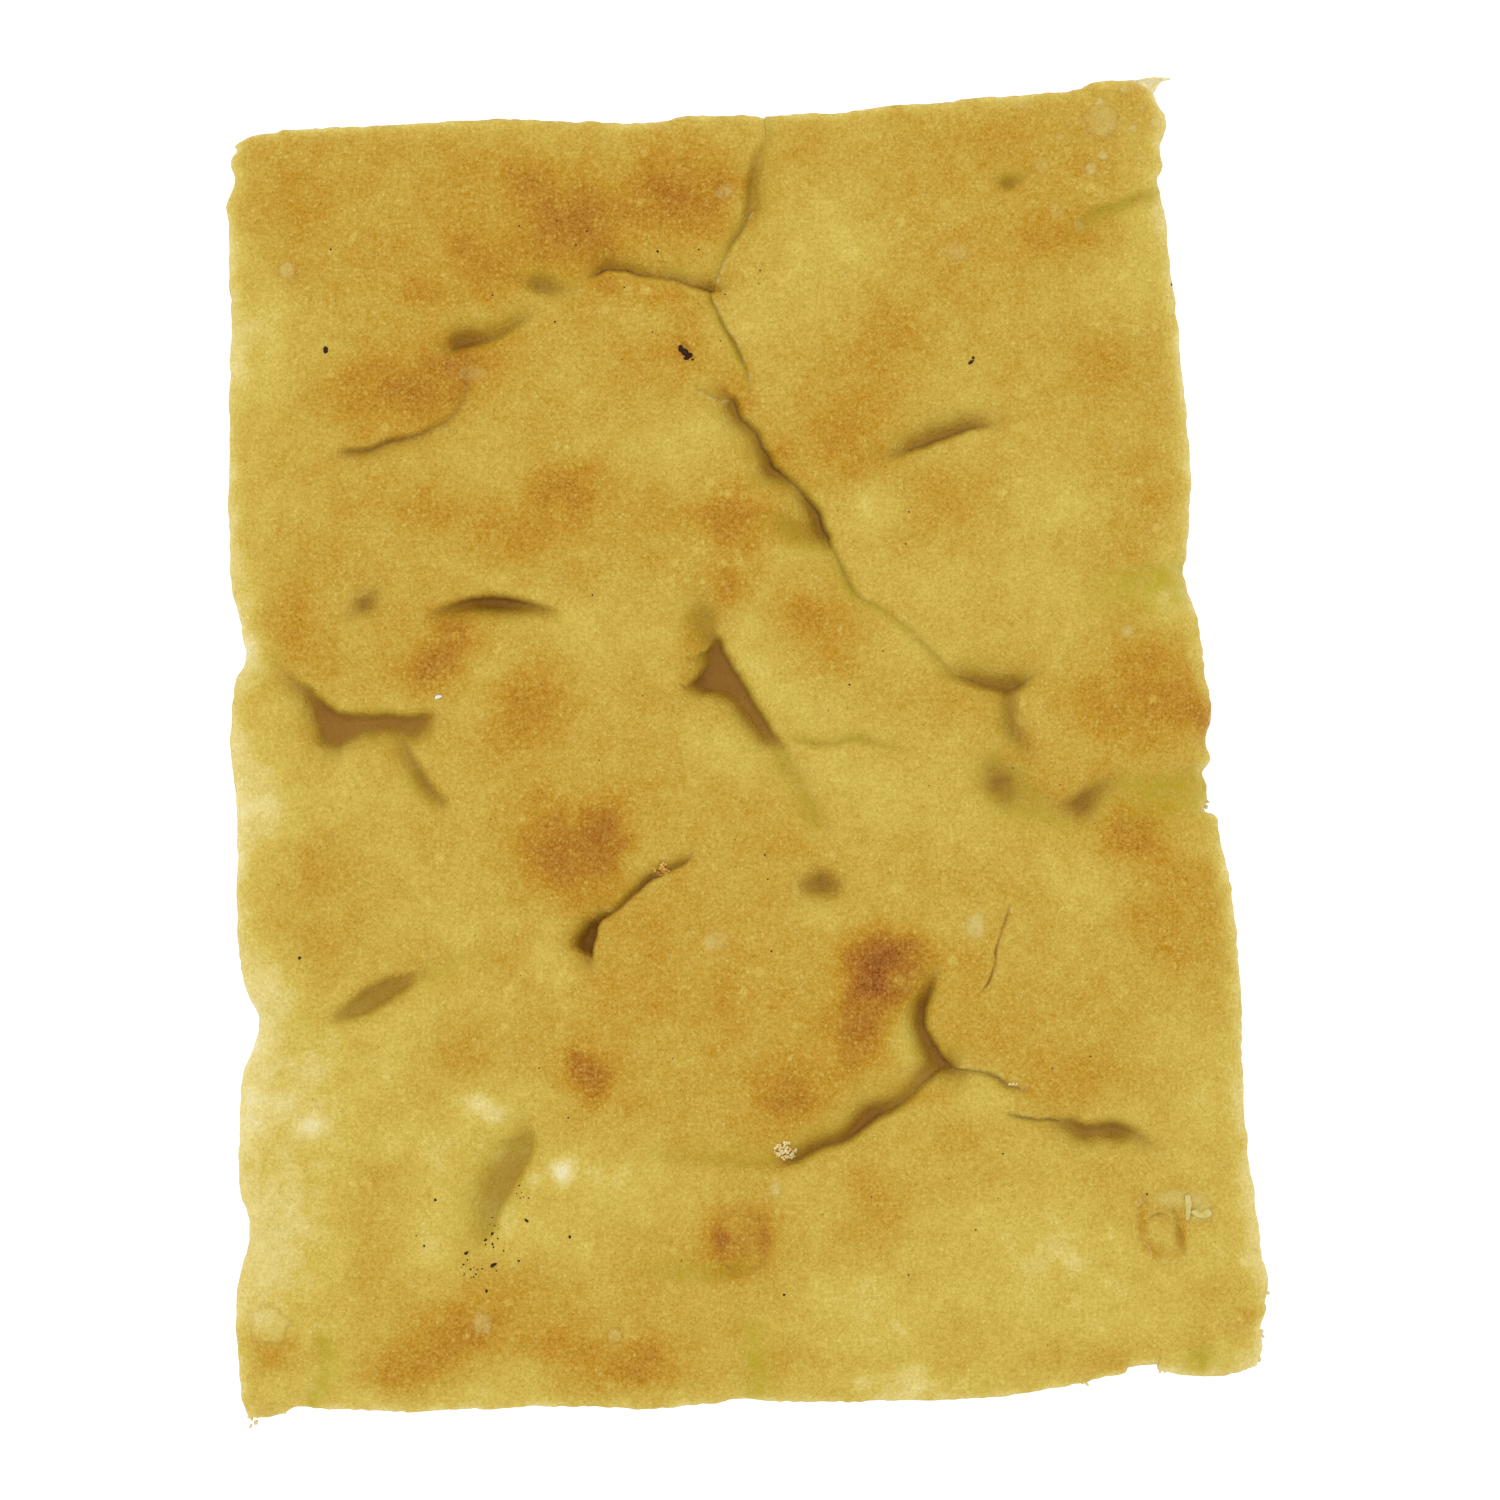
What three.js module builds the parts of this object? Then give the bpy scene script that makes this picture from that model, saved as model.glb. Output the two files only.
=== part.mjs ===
// A slab of focaccia cut from a tray bake: one solid piece of bread with a puffed and finger-dimpled
// top crust, rounded shoulders, four cut sides and a flat baked base.
// Units are millimetres and +Z is up. The origin is at the middle of the base, +X runs across the
// slab and +Y along it.

import * as THREE from 'three';

// ---------------------------------------------------------------------------------------------
// Driving dimensions
// ---------------------------------------------------------------------------------------------

const CRUST_LEVEL = 19.6; // general height of the top crust above the base
const THINNEST = 9.0; // bread left under the deepest dimple
const SIDE_SHOULDER_DROP = 4.2; // how far the crust turns down at the left and right edges
const SIDE_SHOULDER_REACH = 8.5; // how far in from those edges the turn begins
const END_SHOULDER_DROP = 2.2; // the same at the top and bottom edges, which are cleaner cuts
const END_SHOULDER_REACH = 5.0;
const WAIST_INSET = 0.9; // how far the cut sides draw in at half height
const BASE_INSET = 0.5; // how far the base draws in under the crust's rim
const NARROWEST_FOLD = 2.4; // half width below which a fold is finer than the mesh and is widened
const BANK_REACH = 3.1; // width of a fold's rounded banks, as a multiple of the fold's half width
const BANK_SHARE = 0.34; // depth of those banks, as a share of the fold's depth

const COLUMNS = 48; // cells across the slab
const ROWS = 62; // cells along it
const FOLD_SAMPLES = 14; // points at which the distance to a fold is taken

// The four corners of the crust, seen from above.
const TOP_LEFT = [-69.2, 82.6];
const TOP_RIGHT = [55.6, 90.95];
const BOTTOM_RIGHT = [69.2, -83.0];
const BOTTOM_LEFT = [-67.4, -90.95];

// The four edges between the corners. Each holds only the points where it bends; each nick is a
// smooth bite where a fold runs out over the edge.
const LEFT_EDGE = {
  points: [
    [-67.4, -90.95], [-69.1, -84], [-69.0, -50], [-69.5, -20],
    [-70.0, 2], [-70.35, 40], [-70.2, 76], [-69.2, 82.6],
  ],
  nicks: [
    { at: 13.6, depth: 2.1, halfWidth: 4.2 },
    { at: -37.0, depth: 2.9, halfWidth: 4.4 },
    { at: -64.6, depth: 1.5, halfWidth: 4.8 },
  ],
};
const RIGHT_EDGE = {
  points: [
    [69.2, -83.0], [70.35, -72.3], [68.8, -64], [67.2, -52], [66.7, -36], [64.8, -17],
    [62.8, 1], [61.4, 14], [59.9, 30], [58.2, 55], [56.9, 82], [55.6, 90.95],
  ],
  nicks: [
    { at: 77.2, depth: 1.5, halfWidth: 4.2 },
    { at: 24.6, depth: 1.9, halfWidth: 3.0 },
    { at: -4.8, depth: 1.9, halfWidth: 3.2 },
  ],
};
const TOP_EDGE = {
  points: [
    [-69.2, 82.6], [-60, 83.6], [-33.6, 84.9], [-12, 84.9],
    [2, 85.6], [28, 87.4], [46, 89.4], [55.6, 90.95],
  ],
  nicks: [],
};
const BOTTOM_EDGE = {
  points: [
    [-67.4, -90.95], [-60, -89.0], [-28, -88.7], [-2.5, -87.8], [28, -87.6], [44, -85.8],
    [56, -84.4], [63, -84.5], [69.2, -83.0],
  ],
  nicks: [{ at: 53.4, depth: 1.6, halfWidth: 2.0 }],
};

// The folds and finger dimples pressed into the dough. The route follows the bottom of each, depth
// is below the crust's level and width is half the fold's width. A fold that runs out over an edge
// or into another keeps its depth at that end; the others fade out.
const FOLDS = [
  {
    name: 'top seam',
    route: [[2.2, 86], [1.2, 76], [-0.2, 69.5], [-4.4, 62]],
    depth: 3.8,
    width: 1.8,
    open: 'both',
  },
  {
    name: 'upper fold',
    route: [[-21.5, 63.2], [-18, 64.8], [-11, 63.8], [-4, 61.5]],
    depth: 5.4,
    width: 2.1,
    open: 'end',
  },
  { name: 'upper dimple', route: [[-30.5, 62], [-26, 62.6]], depth: 3.6, width: 1.9 },
  { name: 'upper seam', route: [[-4.4, 62], [-2, 56], [-0.2, 50]], depth: 2.2, width: 1.4, open: 'start' },
  {
    name: 'long fold',
    route: [[-7.2, 48.6], [-2, 46.4], [3, 39], [8, 33.2], [12.6, 25]],
    depth: 6.8,
    width: 2.4,
  },
  { name: 'thin seam', route: [[12.6, 25], [17, 19.4], [28.6, 9.4]], depth: 2.2, width: 1.5, open: 'both' },
  { name: 'right fold', route: [[27, 9.6], [32, 8.3], [38, 8.5]], depth: 4.8, width: 1.9 },
  { name: 'right branch', route: [[35, 7.8], [36, 4], [38, -2.2]], depth: 4.6, width: 2.1, open: 'start' },
  { name: 'right dimple', route: [[33.4, -4.6], [34.6, -5]], depth: 6.4, width: 3.0, open: 'both' },
  { name: 'far right dimple', route: [[43.4, -7.8], [46.8, -6.2], [49.5, -5.4]], depth: 5.4, width: 2.3 },
  {
    name: 'right run-out',
    route: [[48, -5.6], [55, -4.2], [63, -4.6]],
    depth: 2.6,
    width: 3.4,
    open: 'end',
  },
  { name: 'left run-out', route: [[-69.5, 13.6], [-63, 11.2]], depth: 2.6, width: 2.8, open: 'both' },
  {
    name: 'left fold',
    route: [[-63.5, 11.6], [-60, 7.2], [-55, 3.6], [-47, 3.8], [-42.5, 4.4]],
    depth: 8.0,
    width: 3.1,
  },
  {
    name: 'left branch',
    route: [[-47, 2.4], [-44.4, -2], [-40.4, -7.6]],
    depth: 4.6,
    width: 2.0,
    open: 'start',
  },
  { name: 'eye fold', route: [[-40.2, 18.8], [-34.3, 20], [-27, 18.5]], depth: 6.6, width: 2.1 },
  { name: 'eye dimple', route: [[-53.4, 18.4], [-50.4, 21]], depth: 2.4, width: 1.9 },
  { name: 'upper left fold', route: [[-38, 54.4], [-34, 56.2], [-30.4, 58.4]], depth: 4.8, width: 2.0 },
  {
    name: 'left hairline',
    route: [[-53.6, 40.4], [-45.6, 42.2], [-39.4, 45.4], [-37.4, 50.4]],
    depth: 3.0,
    width: 1.5,
  },
  { name: 'centre pit', route: [[-6.8, 14.6], [-4.6, 10.2], [-6, 8]], depth: 9.2, width: 2.7 },
  { name: 'centre fold', route: [[-4.2, 12.5], [-3.6, 7.6], [0, 4], [4.8, -1.6]], depth: 7.2, width: 2.2 },
  {
    name: 'centre tail',
    route: [[4.6, -2.2], [8, -8], [9.8, -14.5]],
    depth: 2.0,
    width: 2.3,
    open: 'both',
  },
  { name: 'small dimple', route: [[9.4, -18.2], [10.6, -18.4]], depth: 6.6, width: 3.0, open: 'both' },
  { name: 'middle pit', route: [[-22, -26], [-19.6, -23.2]], depth: 7.4, width: 2.3 },
  {
    name: 'middle fold',
    route: [[-20.6, -24.6], [-16, -20.3], [-7.6, -14.2]],
    depth: 4.8,
    width: 1.7,
    open: 'start',
  },
  { name: 'left slot', route: [[-55, -36.4], [-49.5, -33.6], [-43.8, -30.2]], depth: 5.6, width: 2.0 },
  { name: 'lower run-out', route: [[-67.5, -37], [-55, -36.4]], depth: 2.6, width: 2.6, open: 'both' },
  { name: 'broad dimple', route: [[-30.6, -50], [-33.6, -57.6], [-38, -67.4]], depth: 6.2, width: 3.2 },
  {
    name: 'lower stem',
    route: [[25.4, -31.4], [23.8, -37], [26.6, -43.6]],
    depth: 6.4,
    width: 2.0,
    open: 'end',
  },
  {
    name: 'lower left fold',
    route: [[26.4, -43.6], [16.4, -49.4], [7, -54.9], [-11, -55.2]],
    depth: 6.6,
    width: 2.2,
    open: 'start',
  },
  {
    name: 'lower right fold',
    route: [[27, -43], [33, -44.2], [39.6, -47.6]],
    depth: 3.6,
    width: 1.6,
    open: 'start',
  },
  { name: 'far right slot', route: [[37.8, -48.6], [45, -51.3], [54.6, -53.4]], depth: 5.6, width: 1.8 },
  { name: 'right eye', route: [[19.8, 39.6], [25.6, 42.2], [33, 43.4]], depth: 4.6, width: 1.7 },
  { name: 'top dimple', route: [[34.2, 76.5], [35.4, 76.7]], depth: 3.0, width: 1.8, open: 'both' },
  {
    name: 'upper right valley',
    route: [[57, 76.6], [47, 72.2], [33.6, 65.2]],
    depth: 2.4,
    width: 3.0,
    open: 'start',
  },
  {
    name: 'right groove',
    route: [[48.6, 22.8], [54, 23.2], [60, 24.6]],
    depth: 3.0,
    width: 2.8,
    open: 'end',
  },
  { name: 'lower left valley', route: [[-68.5, -64.6], [-60, -66]], depth: 1.8, width: 3.4, open: 'start' },
  { name: 'bottom groove', route: [[0.4, -77], [1.2, -88.5]], depth: 1.6, width: 2.4, open: 'end' },
  { name: 'bottom left groove', route: [[-57.6, -79], [-57, -89.5]], depth: 1.4, width: 2.4, open: 'end' },
];

// Where the dough puffed up between the dimples: the middle and half sizes of each pillow.
const PILLOWS = [
  { at: [-40, 71], size: [26, 10], lift: 1.0 },
  { at: [-21, 48], size: [16, 13], lift: 1.9 },
  { at: [-55, 30], size: [13, 10], lift: 1.2 },
  { at: [-13, 29], size: [16, 10], lift: 1.5 },
  { at: [24, 60], size: [20, 13], lift: 1.7 },
  { at: [38, 31], size: [15, 10], lift: 1.4 },
  { at: [11, 11], size: [12, 9], lift: 1.9 },
  { at: [-22, -8], size: [15, 13], lift: 2.1 },
  { at: [-55, -16], size: [11, 12], lift: 1.4 },
  { at: [52, 10], size: [8, 8], lift: 1.1 },
  { at: [0, -37], size: [20, 13], lift: 2.6 },
  { at: [45, -26], size: [15, 14], lift: 1.7 },
  { at: [-52, -52], size: [12, 11], lift: 0.9 },
  { at: [-14, -70], size: [17, 9], lift: 1.3 },
  { at: [28, -68], size: [20, 11], lift: 1.5 },
  { at: [-48, -78], size: [15, 7], lift: 1.1 },
];

// The corner where the crust tore away and left a low flake of crumb.
const TORN_CORNER = { at: [52.5, 91.2], size: [7, 2.2], drop: 6.0 };

const CRUST_COLOUR = 0xc79f3d;

// ---------------------------------------------------------------------------------------------
// Outline
// ---------------------------------------------------------------------------------------------

// One edge of the outline, as a function from 0 to 1 along its length. A nick moves the edge
// towards the inside, which is along `inward`, and its place is measured along the other axis.
function edgeCurve(edge, inward) {
  const spline = new THREE.SplineCurve(edge.points.map(([x, y]) => new THREE.Vector2(x, y)));
  const alongAxis = inward.x === 0 ? 'x' : 'y';
  return (share) => {
    const point = spline.getPointAt(share);
    const along = point[alongAxis];
    const bite = edge.nicks.reduce(
      (sum, nick) => sum + nick.depth * Math.exp(-(((along - nick.at) / nick.halfWidth) ** 2)),
      0,
    );
    return point.addScaledVector(inward, bite);
  };
}

const leftEdge = edgeCurve(LEFT_EDGE, new THREE.Vector2(1, 0));
const rightEdge = edgeCurve(RIGHT_EDGE, new THREE.Vector2(-1, 0));
const topEdge = edgeCurve(TOP_EDGE, new THREE.Vector2(0, -1));
const bottomEdge = edgeCurve(BOTTOM_EDGE, new THREE.Vector2(0, 1));

// A point of the crust seen from above, from shares of the way across and along the slab: the four
// edges blended over the inside, less the corners that the two blends both count.
function planPoint(across, along) {
  const left = leftEdge(along);
  const right = rightEdge(along);
  const bottom = bottomEdge(across);
  const top = topEdge(across);
  const bilinear = (axis) =>
    (1 - along) * ((1 - across) * BOTTOM_LEFT[axis] + across * BOTTOM_RIGHT[axis]) +
    along * ((1 - across) * TOP_LEFT[axis] + across * TOP_RIGHT[axis]);
  return new THREE.Vector2(
    (1 - across) * left.x + across * right.x + (1 - along) * bottom.x + along * top.x - bilinear(0),
    (1 - across) * left.y + across * right.y + (1 - along) * bottom.y + along * top.y - bilinear(1),
  );
}

// ---------------------------------------------------------------------------------------------
// Height of the top crust
// ---------------------------------------------------------------------------------------------

// The points along the bottom of a fold, each with the share of the full depth that it has.
function foldLine(fold) {
  const spline = new THREE.SplineCurve(fold.route.map(([x, y]) => new THREE.Vector2(x, y)));
  const opensAt = (end) => fold.open === end || fold.open === 'both';
  return spline.getPoints(FOLD_SAMPLES).map((point, index) => {
    const share = index / FOLD_SAMPLES;
    const fadeIn = opensAt('start') ? 1 : THREE.MathUtils.smoothstep(share, -0.12, 0.3);
    const fadeOut = opensAt('end') ? 1 : THREE.MathUtils.smoothstep(1 - share, -0.12, 0.3);
    return { point, strength: fadeIn * fadeOut };
  });
}

const foldLines = FOLDS.map((fold) => ({ ...fold, line: foldLine(fold) }));

// How far one fold lowers the crust at a point: a narrow valley with broad rounded banks.
function foldDepth(fold, point) {
  const width = Math.max(fold.width, NARROWEST_FOLD);
  let valley = 0;
  let bank = 0;
  for (const { point: bottom, strength } of fold.line) {
    const offset = point.distanceTo(bottom) / width;
    valley = Math.max(valley, strength * Math.exp(-(offset ** 2)));
    bank = Math.max(bank, strength * Math.exp(-((offset / BANK_REACH) ** 2)));
  }
  return fold.depth * ((1 - BANK_SHARE) * valley + BANK_SHARE * bank);
}

function pillowLift(pillow, point) {
  const across = (point.x - pillow.at[0]) / pillow.size[0];
  const along = (point.y - pillow.at[1]) / pillow.size[1];
  return pillow.lift * Math.exp(-(across ** 2 + along ** 2));
}

// The crust turns down towards an edge in a quarter round.
function shoulder(distance, reach, drop) {
  const share = THREE.MathUtils.clamp(1 - distance / reach, 0, 1);
  return drop * (1 - Math.sqrt(1 - 0.96 * share ** 2));
}

function tornCorner(point) {
  const across = (point.x - TORN_CORNER.at[0]) / TORN_CORNER.size[0];
  const along = (point.y - TORN_CORNER.at[1]) / TORN_CORNER.size[1];
  return TORN_CORNER.drop * Math.exp(-(across ** 2 + along ** 2));
}

function crustHeight(point, across, along) {
  const slabWidth = rightEdge(along).x - leftEdge(along).x;
  const slabLength = topEdge(across).y - bottomEdge(across).y;
  const sideDistance = Math.min(across, 1 - across) * slabWidth;
  const endDistance = Math.min(along, 1 - along) * slabLength;

  const lift = PILLOWS.reduce((sum, pillow) => sum + pillowLift(pillow, point), 0);
  const valleys = foldLines.map((fold) => foldDepth(fold, point)).sort((a, b) => b - a);
  // Where folds meet, the deepest sets the bottom and the next only widens it a little.
  const folds = valleys[0] + 0.35 * valleys[1];
  const turnDown =
    shoulder(sideDistance, SIDE_SHOULDER_REACH, SIDE_SHOULDER_DROP) +
    shoulder(endDistance, END_SHOULDER_REACH, END_SHOULDER_DROP);
  return Math.max(THINNEST, CRUST_LEVEL + lift - folds - turnDown - tornCorner(point));
}

// ---------------------------------------------------------------------------------------------
// The solid
// ---------------------------------------------------------------------------------------------

// Grid indices of the rim, once round anticlockwise as seen from above.
function rimIndices() {
  const index = (column, row) => row * (COLUMNS + 1) + column;
  const rim = [];
  for (let column = 0; column < COLUMNS; column += 1) rim.push(index(column, 0));
  for (let row = 0; row < ROWS; row += 1) rim.push(index(COLUMNS, row));
  for (let column = COLUMNS; column > 0; column -= 1) rim.push(index(column, ROWS));
  for (let row = ROWS; row > 0; row -= 1) rim.push(index(0, row));
  return rim;
}

// A rim point moved into the slab, square to the line between its two neighbours.
function insetPoint(outline, position, inset) {
  const count = outline.length;
  const before = outline[(position + count - 1) % count];
  const after = outline[(position + 1) % count];
  const inward = new THREE.Vector2(before.y - after.y, after.x - before.x).normalize();
  return outline[position].clone().addScaledVector(inward, inset);
}

function slabGeometry() {
  const vertices = [];
  const faces = [];
  const plan = [];
  for (let row = 0; row <= ROWS; row += 1) {
    for (let column = 0; column <= COLUMNS; column += 1) {
      const point = planPoint(column / COLUMNS, row / ROWS);
      plan.push(point);
      vertices.push(point.x, point.y, crustHeight(point, column / COLUMNS, row / ROWS));
    }
  }
  const height = (index) => vertices[index * 3 + 2];
  for (let row = 0; row < ROWS; row += 1) {
    for (let column = 0; column < COLUMNS; column += 1) {
      const corner = row * (COLUMNS + 1) + column;
      const above = corner + COLUMNS + 1;
      // Each cell is split between its two corners of the more equal height, so that the split
      // runs along a fold and not across it.
      const rising = Math.abs(height(corner) - height(above + 1));
      const falling = Math.abs(height(corner + 1) - height(above));
      if (rising <= falling) {
        faces.push(corner, corner + 1, above + 1);
        faces.push(corner, above + 1, above);
      } else {
        faces.push(corner, corner + 1, above);
        faces.push(corner + 1, above + 1, above);
      }
    }
  }

  // The cut sides: from the rim down to the waist at half height, then down to the base.
  const rim = rimIndices();
  const outline = rim.map((index) => plan[index]);
  const waist = outline.map((_, position) => insetPoint(outline, position, WAIST_INSET));
  const base = outline.map((_, position) => insetPoint(outline, position, BASE_INSET));
  const waistStart = vertices.length / 3;
  waist.forEach((point, position) => vertices.push(point.x, point.y, height(rim[position]) / 2));
  const baseStart = vertices.length / 3;
  base.forEach((point) => vertices.push(point.x, point.y, 0));
  for (let position = 0; position < rim.length; position += 1) {
    const next = (position + 1) % rim.length;
    faces.push(rim[position], waistStart + position, waistStart + next);
    faces.push(rim[position], waistStart + next, rim[next]);
    faces.push(waistStart + position, baseStart + position, baseStart + next);
    faces.push(waistStart + position, baseStart + next, waistStart + next);
  }

  // The flat base, which faces down.
  for (const [a, b, c] of THREE.ShapeUtils.triangulateShape(base, [])) {
    faces.push(baseStart + a, baseStart + c, baseStart + b);
  }

  const geometry = new THREE.BufferGeometry();
  geometry.setAttribute('position', new THREE.Float32BufferAttribute(vertices, 3));
  geometry.setIndex(faces);
  geometry.computeVertexNormals();
  return geometry;
}

function focaccia() {
  const crust = new THREE.MeshStandardMaterial({ color: CRUST_COLOUR, roughness: 0.62, metalness: 0 });
  const slab = new THREE.Mesh(slabGeometry(), crust);
  slab.name = 'focaccia';
  return slab;
}

const model = new THREE.Group();
model.add(focaccia());

export default model;
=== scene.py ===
"""A slab of tray-baked focaccia: its two crusts, its open crumb and what lies loose on it.

Lengths are worked out in millimetres and turned to metres when a mesh is made. A place on the crust
that was read from the photograph is held as a named pixel place and turned to millimetres by
`Photo.place`.
"""

import logging
import math
from collections.abc import Callable, Iterable, Sequence
from dataclasses import dataclass, field
from enum import Enum
from functools import cache, partial

import bmesh
import bpy
import numpy as np
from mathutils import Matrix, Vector
from mathutils.kdtree import KDTree


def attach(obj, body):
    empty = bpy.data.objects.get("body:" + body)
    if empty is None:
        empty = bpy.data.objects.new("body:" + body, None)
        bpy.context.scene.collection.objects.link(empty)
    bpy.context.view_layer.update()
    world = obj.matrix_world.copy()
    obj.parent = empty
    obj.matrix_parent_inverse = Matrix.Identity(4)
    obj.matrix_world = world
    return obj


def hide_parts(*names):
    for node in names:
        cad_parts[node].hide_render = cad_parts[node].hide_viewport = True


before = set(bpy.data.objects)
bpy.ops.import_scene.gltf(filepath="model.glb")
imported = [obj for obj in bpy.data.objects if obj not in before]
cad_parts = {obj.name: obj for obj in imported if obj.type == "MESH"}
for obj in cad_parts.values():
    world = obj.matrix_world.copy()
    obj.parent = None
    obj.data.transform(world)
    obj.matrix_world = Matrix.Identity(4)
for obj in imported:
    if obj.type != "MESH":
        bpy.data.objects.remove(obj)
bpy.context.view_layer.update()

NODE = "focaccia"
BODY = "root"
MM = 0.001

Array = np.ndarray
Places = tuple[tuple[float, ...], ...]
# Unevenness in parts: the height, the width of a bump in millimetres and the seed of each.
Parts = tuple[tuple[float, float, int], ...]

log = logging.getLogger("focaccia")


# ---- Reading places, and seeded unevenness ----


class Photo:
    """The photograph's own frame: where its middle lies on the slab, and how large it shows it."""

    size = 1500
    middle = (748.5, 749.5)
    pixels_per_mm = 7.4

    @classmethod
    def place(cls, across: Array, down: Array) -> tuple[Array, Array]:
        """Turn pixel places to millimetres on the slab.

        Args:
            across: Pixels from the left of the photograph.
            down: Pixels from its top.

        Returns:
            The x and y of those places on the slab, in millimetres.
        """
        x = (np.asarray(across, float) - cls.middle[0]) / cls.pixels_per_mm
        y = (cls.middle[1] - np.asarray(down, float)) / cls.pixels_per_mm
        return x, y

    @classmethod
    def length(cls, pixels: float) -> float:
        """Turn a length in pixels to millimetres."""
        return pixels / cls.pixels_per_mm


LATTICE = 512


@cache
def lattice_of(seed: int) -> Array:
    """Return the random heights through which a seed's unevenness is drawn."""
    return np.random.default_rng(seed).uniform(-1.0, 1.0, (LATTICE, LATTICE))


def unevenness(x: Array, y: Array, size: float, seed: int) -> Array:
    """Smooth seeded unevenness, such as dough has.

    Args:
        x: Places across, in millimetres.
        y: Places along, in millimetres.
        size: How wide one bump is, in millimetres.
        seed: Which pattern.

    Returns:
        A height for each place, between about -1 and 1.
    """
    lattice = lattice_of(seed)
    column = np.asarray(x, float) / size + LATTICE / 2 + 0.37 * seed
    row = np.asarray(y, float) / size + LATTICE / 2 - 0.21 * seed
    left, low = np.floor(column).astype(int), np.floor(row).astype(int)
    a, b = column - left, row - low
    a, b = a * a * (3 - 2 * a), b * b * (3 - 2 * b)
    left, low = left % LATTICE, low % LATTICE
    right, high = (left + 1) % LATTICE, (low + 1) % LATTICE
    bottom = lattice[low, left] * (1 - a) + lattice[low, right] * a
    top = lattice[high, left] * (1 - a) + lattice[high, right] * a
    return 1.3 * (bottom * (1 - b) + top * b)


def blended(x: Array, y: Array, parts: Parts) -> Array:
    """Return the unevenness of several parts together at places in millimetres."""
    return sum(height * unevenness(x, y, size, seed) for height, size, seed in parts)


def bell(distance: Array, reach: float | Array) -> Array:
    """Return a share that falls from 1 at no distance to a third at the reach, and on to 0."""
    return np.exp(-(distance / reach) ** 2)


def smooth_line(points: Array, pieces: int) -> Array:
    """Draw a smooth line through points, with any widths they carry.

    Args:
        points: One row for each point: x, y and any other values.
        pieces: How many steps there are between two points.

    Returns:
        The rows of the smooth line.
    """
    padded = np.vstack([2 * points[0] - points[1], points, 2 * points[-1] - points[-2]])
    share = np.linspace(0, 1, pieces, endpoint=False)[:, None]
    rows = []
    for before, start, end, after in zip(padded, padded[1:], padded[2:], padded[3:]):
        rows.append(
            0.5 * (2 * start + (end - before) * share
                   + (2 * before - 5 * start + 4 * end - after) * share ** 2
                   + (3 * start - before - 3 * end + after) * share ** 3)
        )
    return np.vstack([*rows, points[-1:]])


def along_line(line: Array) -> Array:
    """Return how far along a line each of its points is."""
    steps = np.hypot(np.diff(line[:, 0]), np.diff(line[:, 1]))
    return np.concatenate([[0.0], np.cumsum(steps)])


# ---- What was read from the photograph ----


class Side(Enum):
    """The side of a fold on which the dough's lip hangs over, as a direction on the slab."""

    NORTH = (0.0, 1.0)
    SOUTH = (0.0, -1.0)
    EAST = (1.0, 0.0)
    WEST = (-1.0, 0.0)
    NORTH_EAST = (0.7, 0.7)
    SOUTH_EAST = (0.7, -0.7)


@dataclass(frozen=True)
class Fold:
    """One fold or finger dimple in the crust.

    Each place of `route` holds a point of the lip's line in the photograph's pixels, how wide the
    fold's floor is there in millimetres, and what share of the depth it has. The other sizes are in
    millimetres. `stain`, `olive`, `torn` and `line` are shares from 0 to 1: how brown its floor is,
    from stained dough and painted shade; how olive its bank, from oil and painted shade; how torn
    its lip; and how dark the line of painted shadow under the lip.
    """

    name: str
    route: Places
    depth: float
    lip: Side
    soft: float
    steep: float
    overhang: float = 0.0
    stain: float = 1.0
    olive: float = 0.6
    torn: float = 0.0
    line: float = 0.6


@dataclass(frozen=True)
class Patch:
    """A browner or paler patch of the crust: its middle and half sizes in the photograph's pixels.

    `level` is how far it is baked, from -0.2 for floury dough over 0 for the palest crust to 1.3,
    `hold` how far it covers what is under it, and `turn` how many degrees it is turned.
    """

    across: float
    down: float
    wide: float
    high: float
    level: float
    hold: float = 0.8
    turn: float = 0.0


@dataclass(frozen=True)
class Bubble:
    """A thin blister in the crust, placed in the photograph's pixels, with half sizes in millimetres.

    One whose `lift` is below 0 has sunk in. `pale` and `ring` are shares: how pale its skin is and
    how brown the ring round it.
    """

    across: float
    down: float
    wide: float
    high: float
    lift: float
    pale: float = 0.5
    ring: float = 0.0


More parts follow.
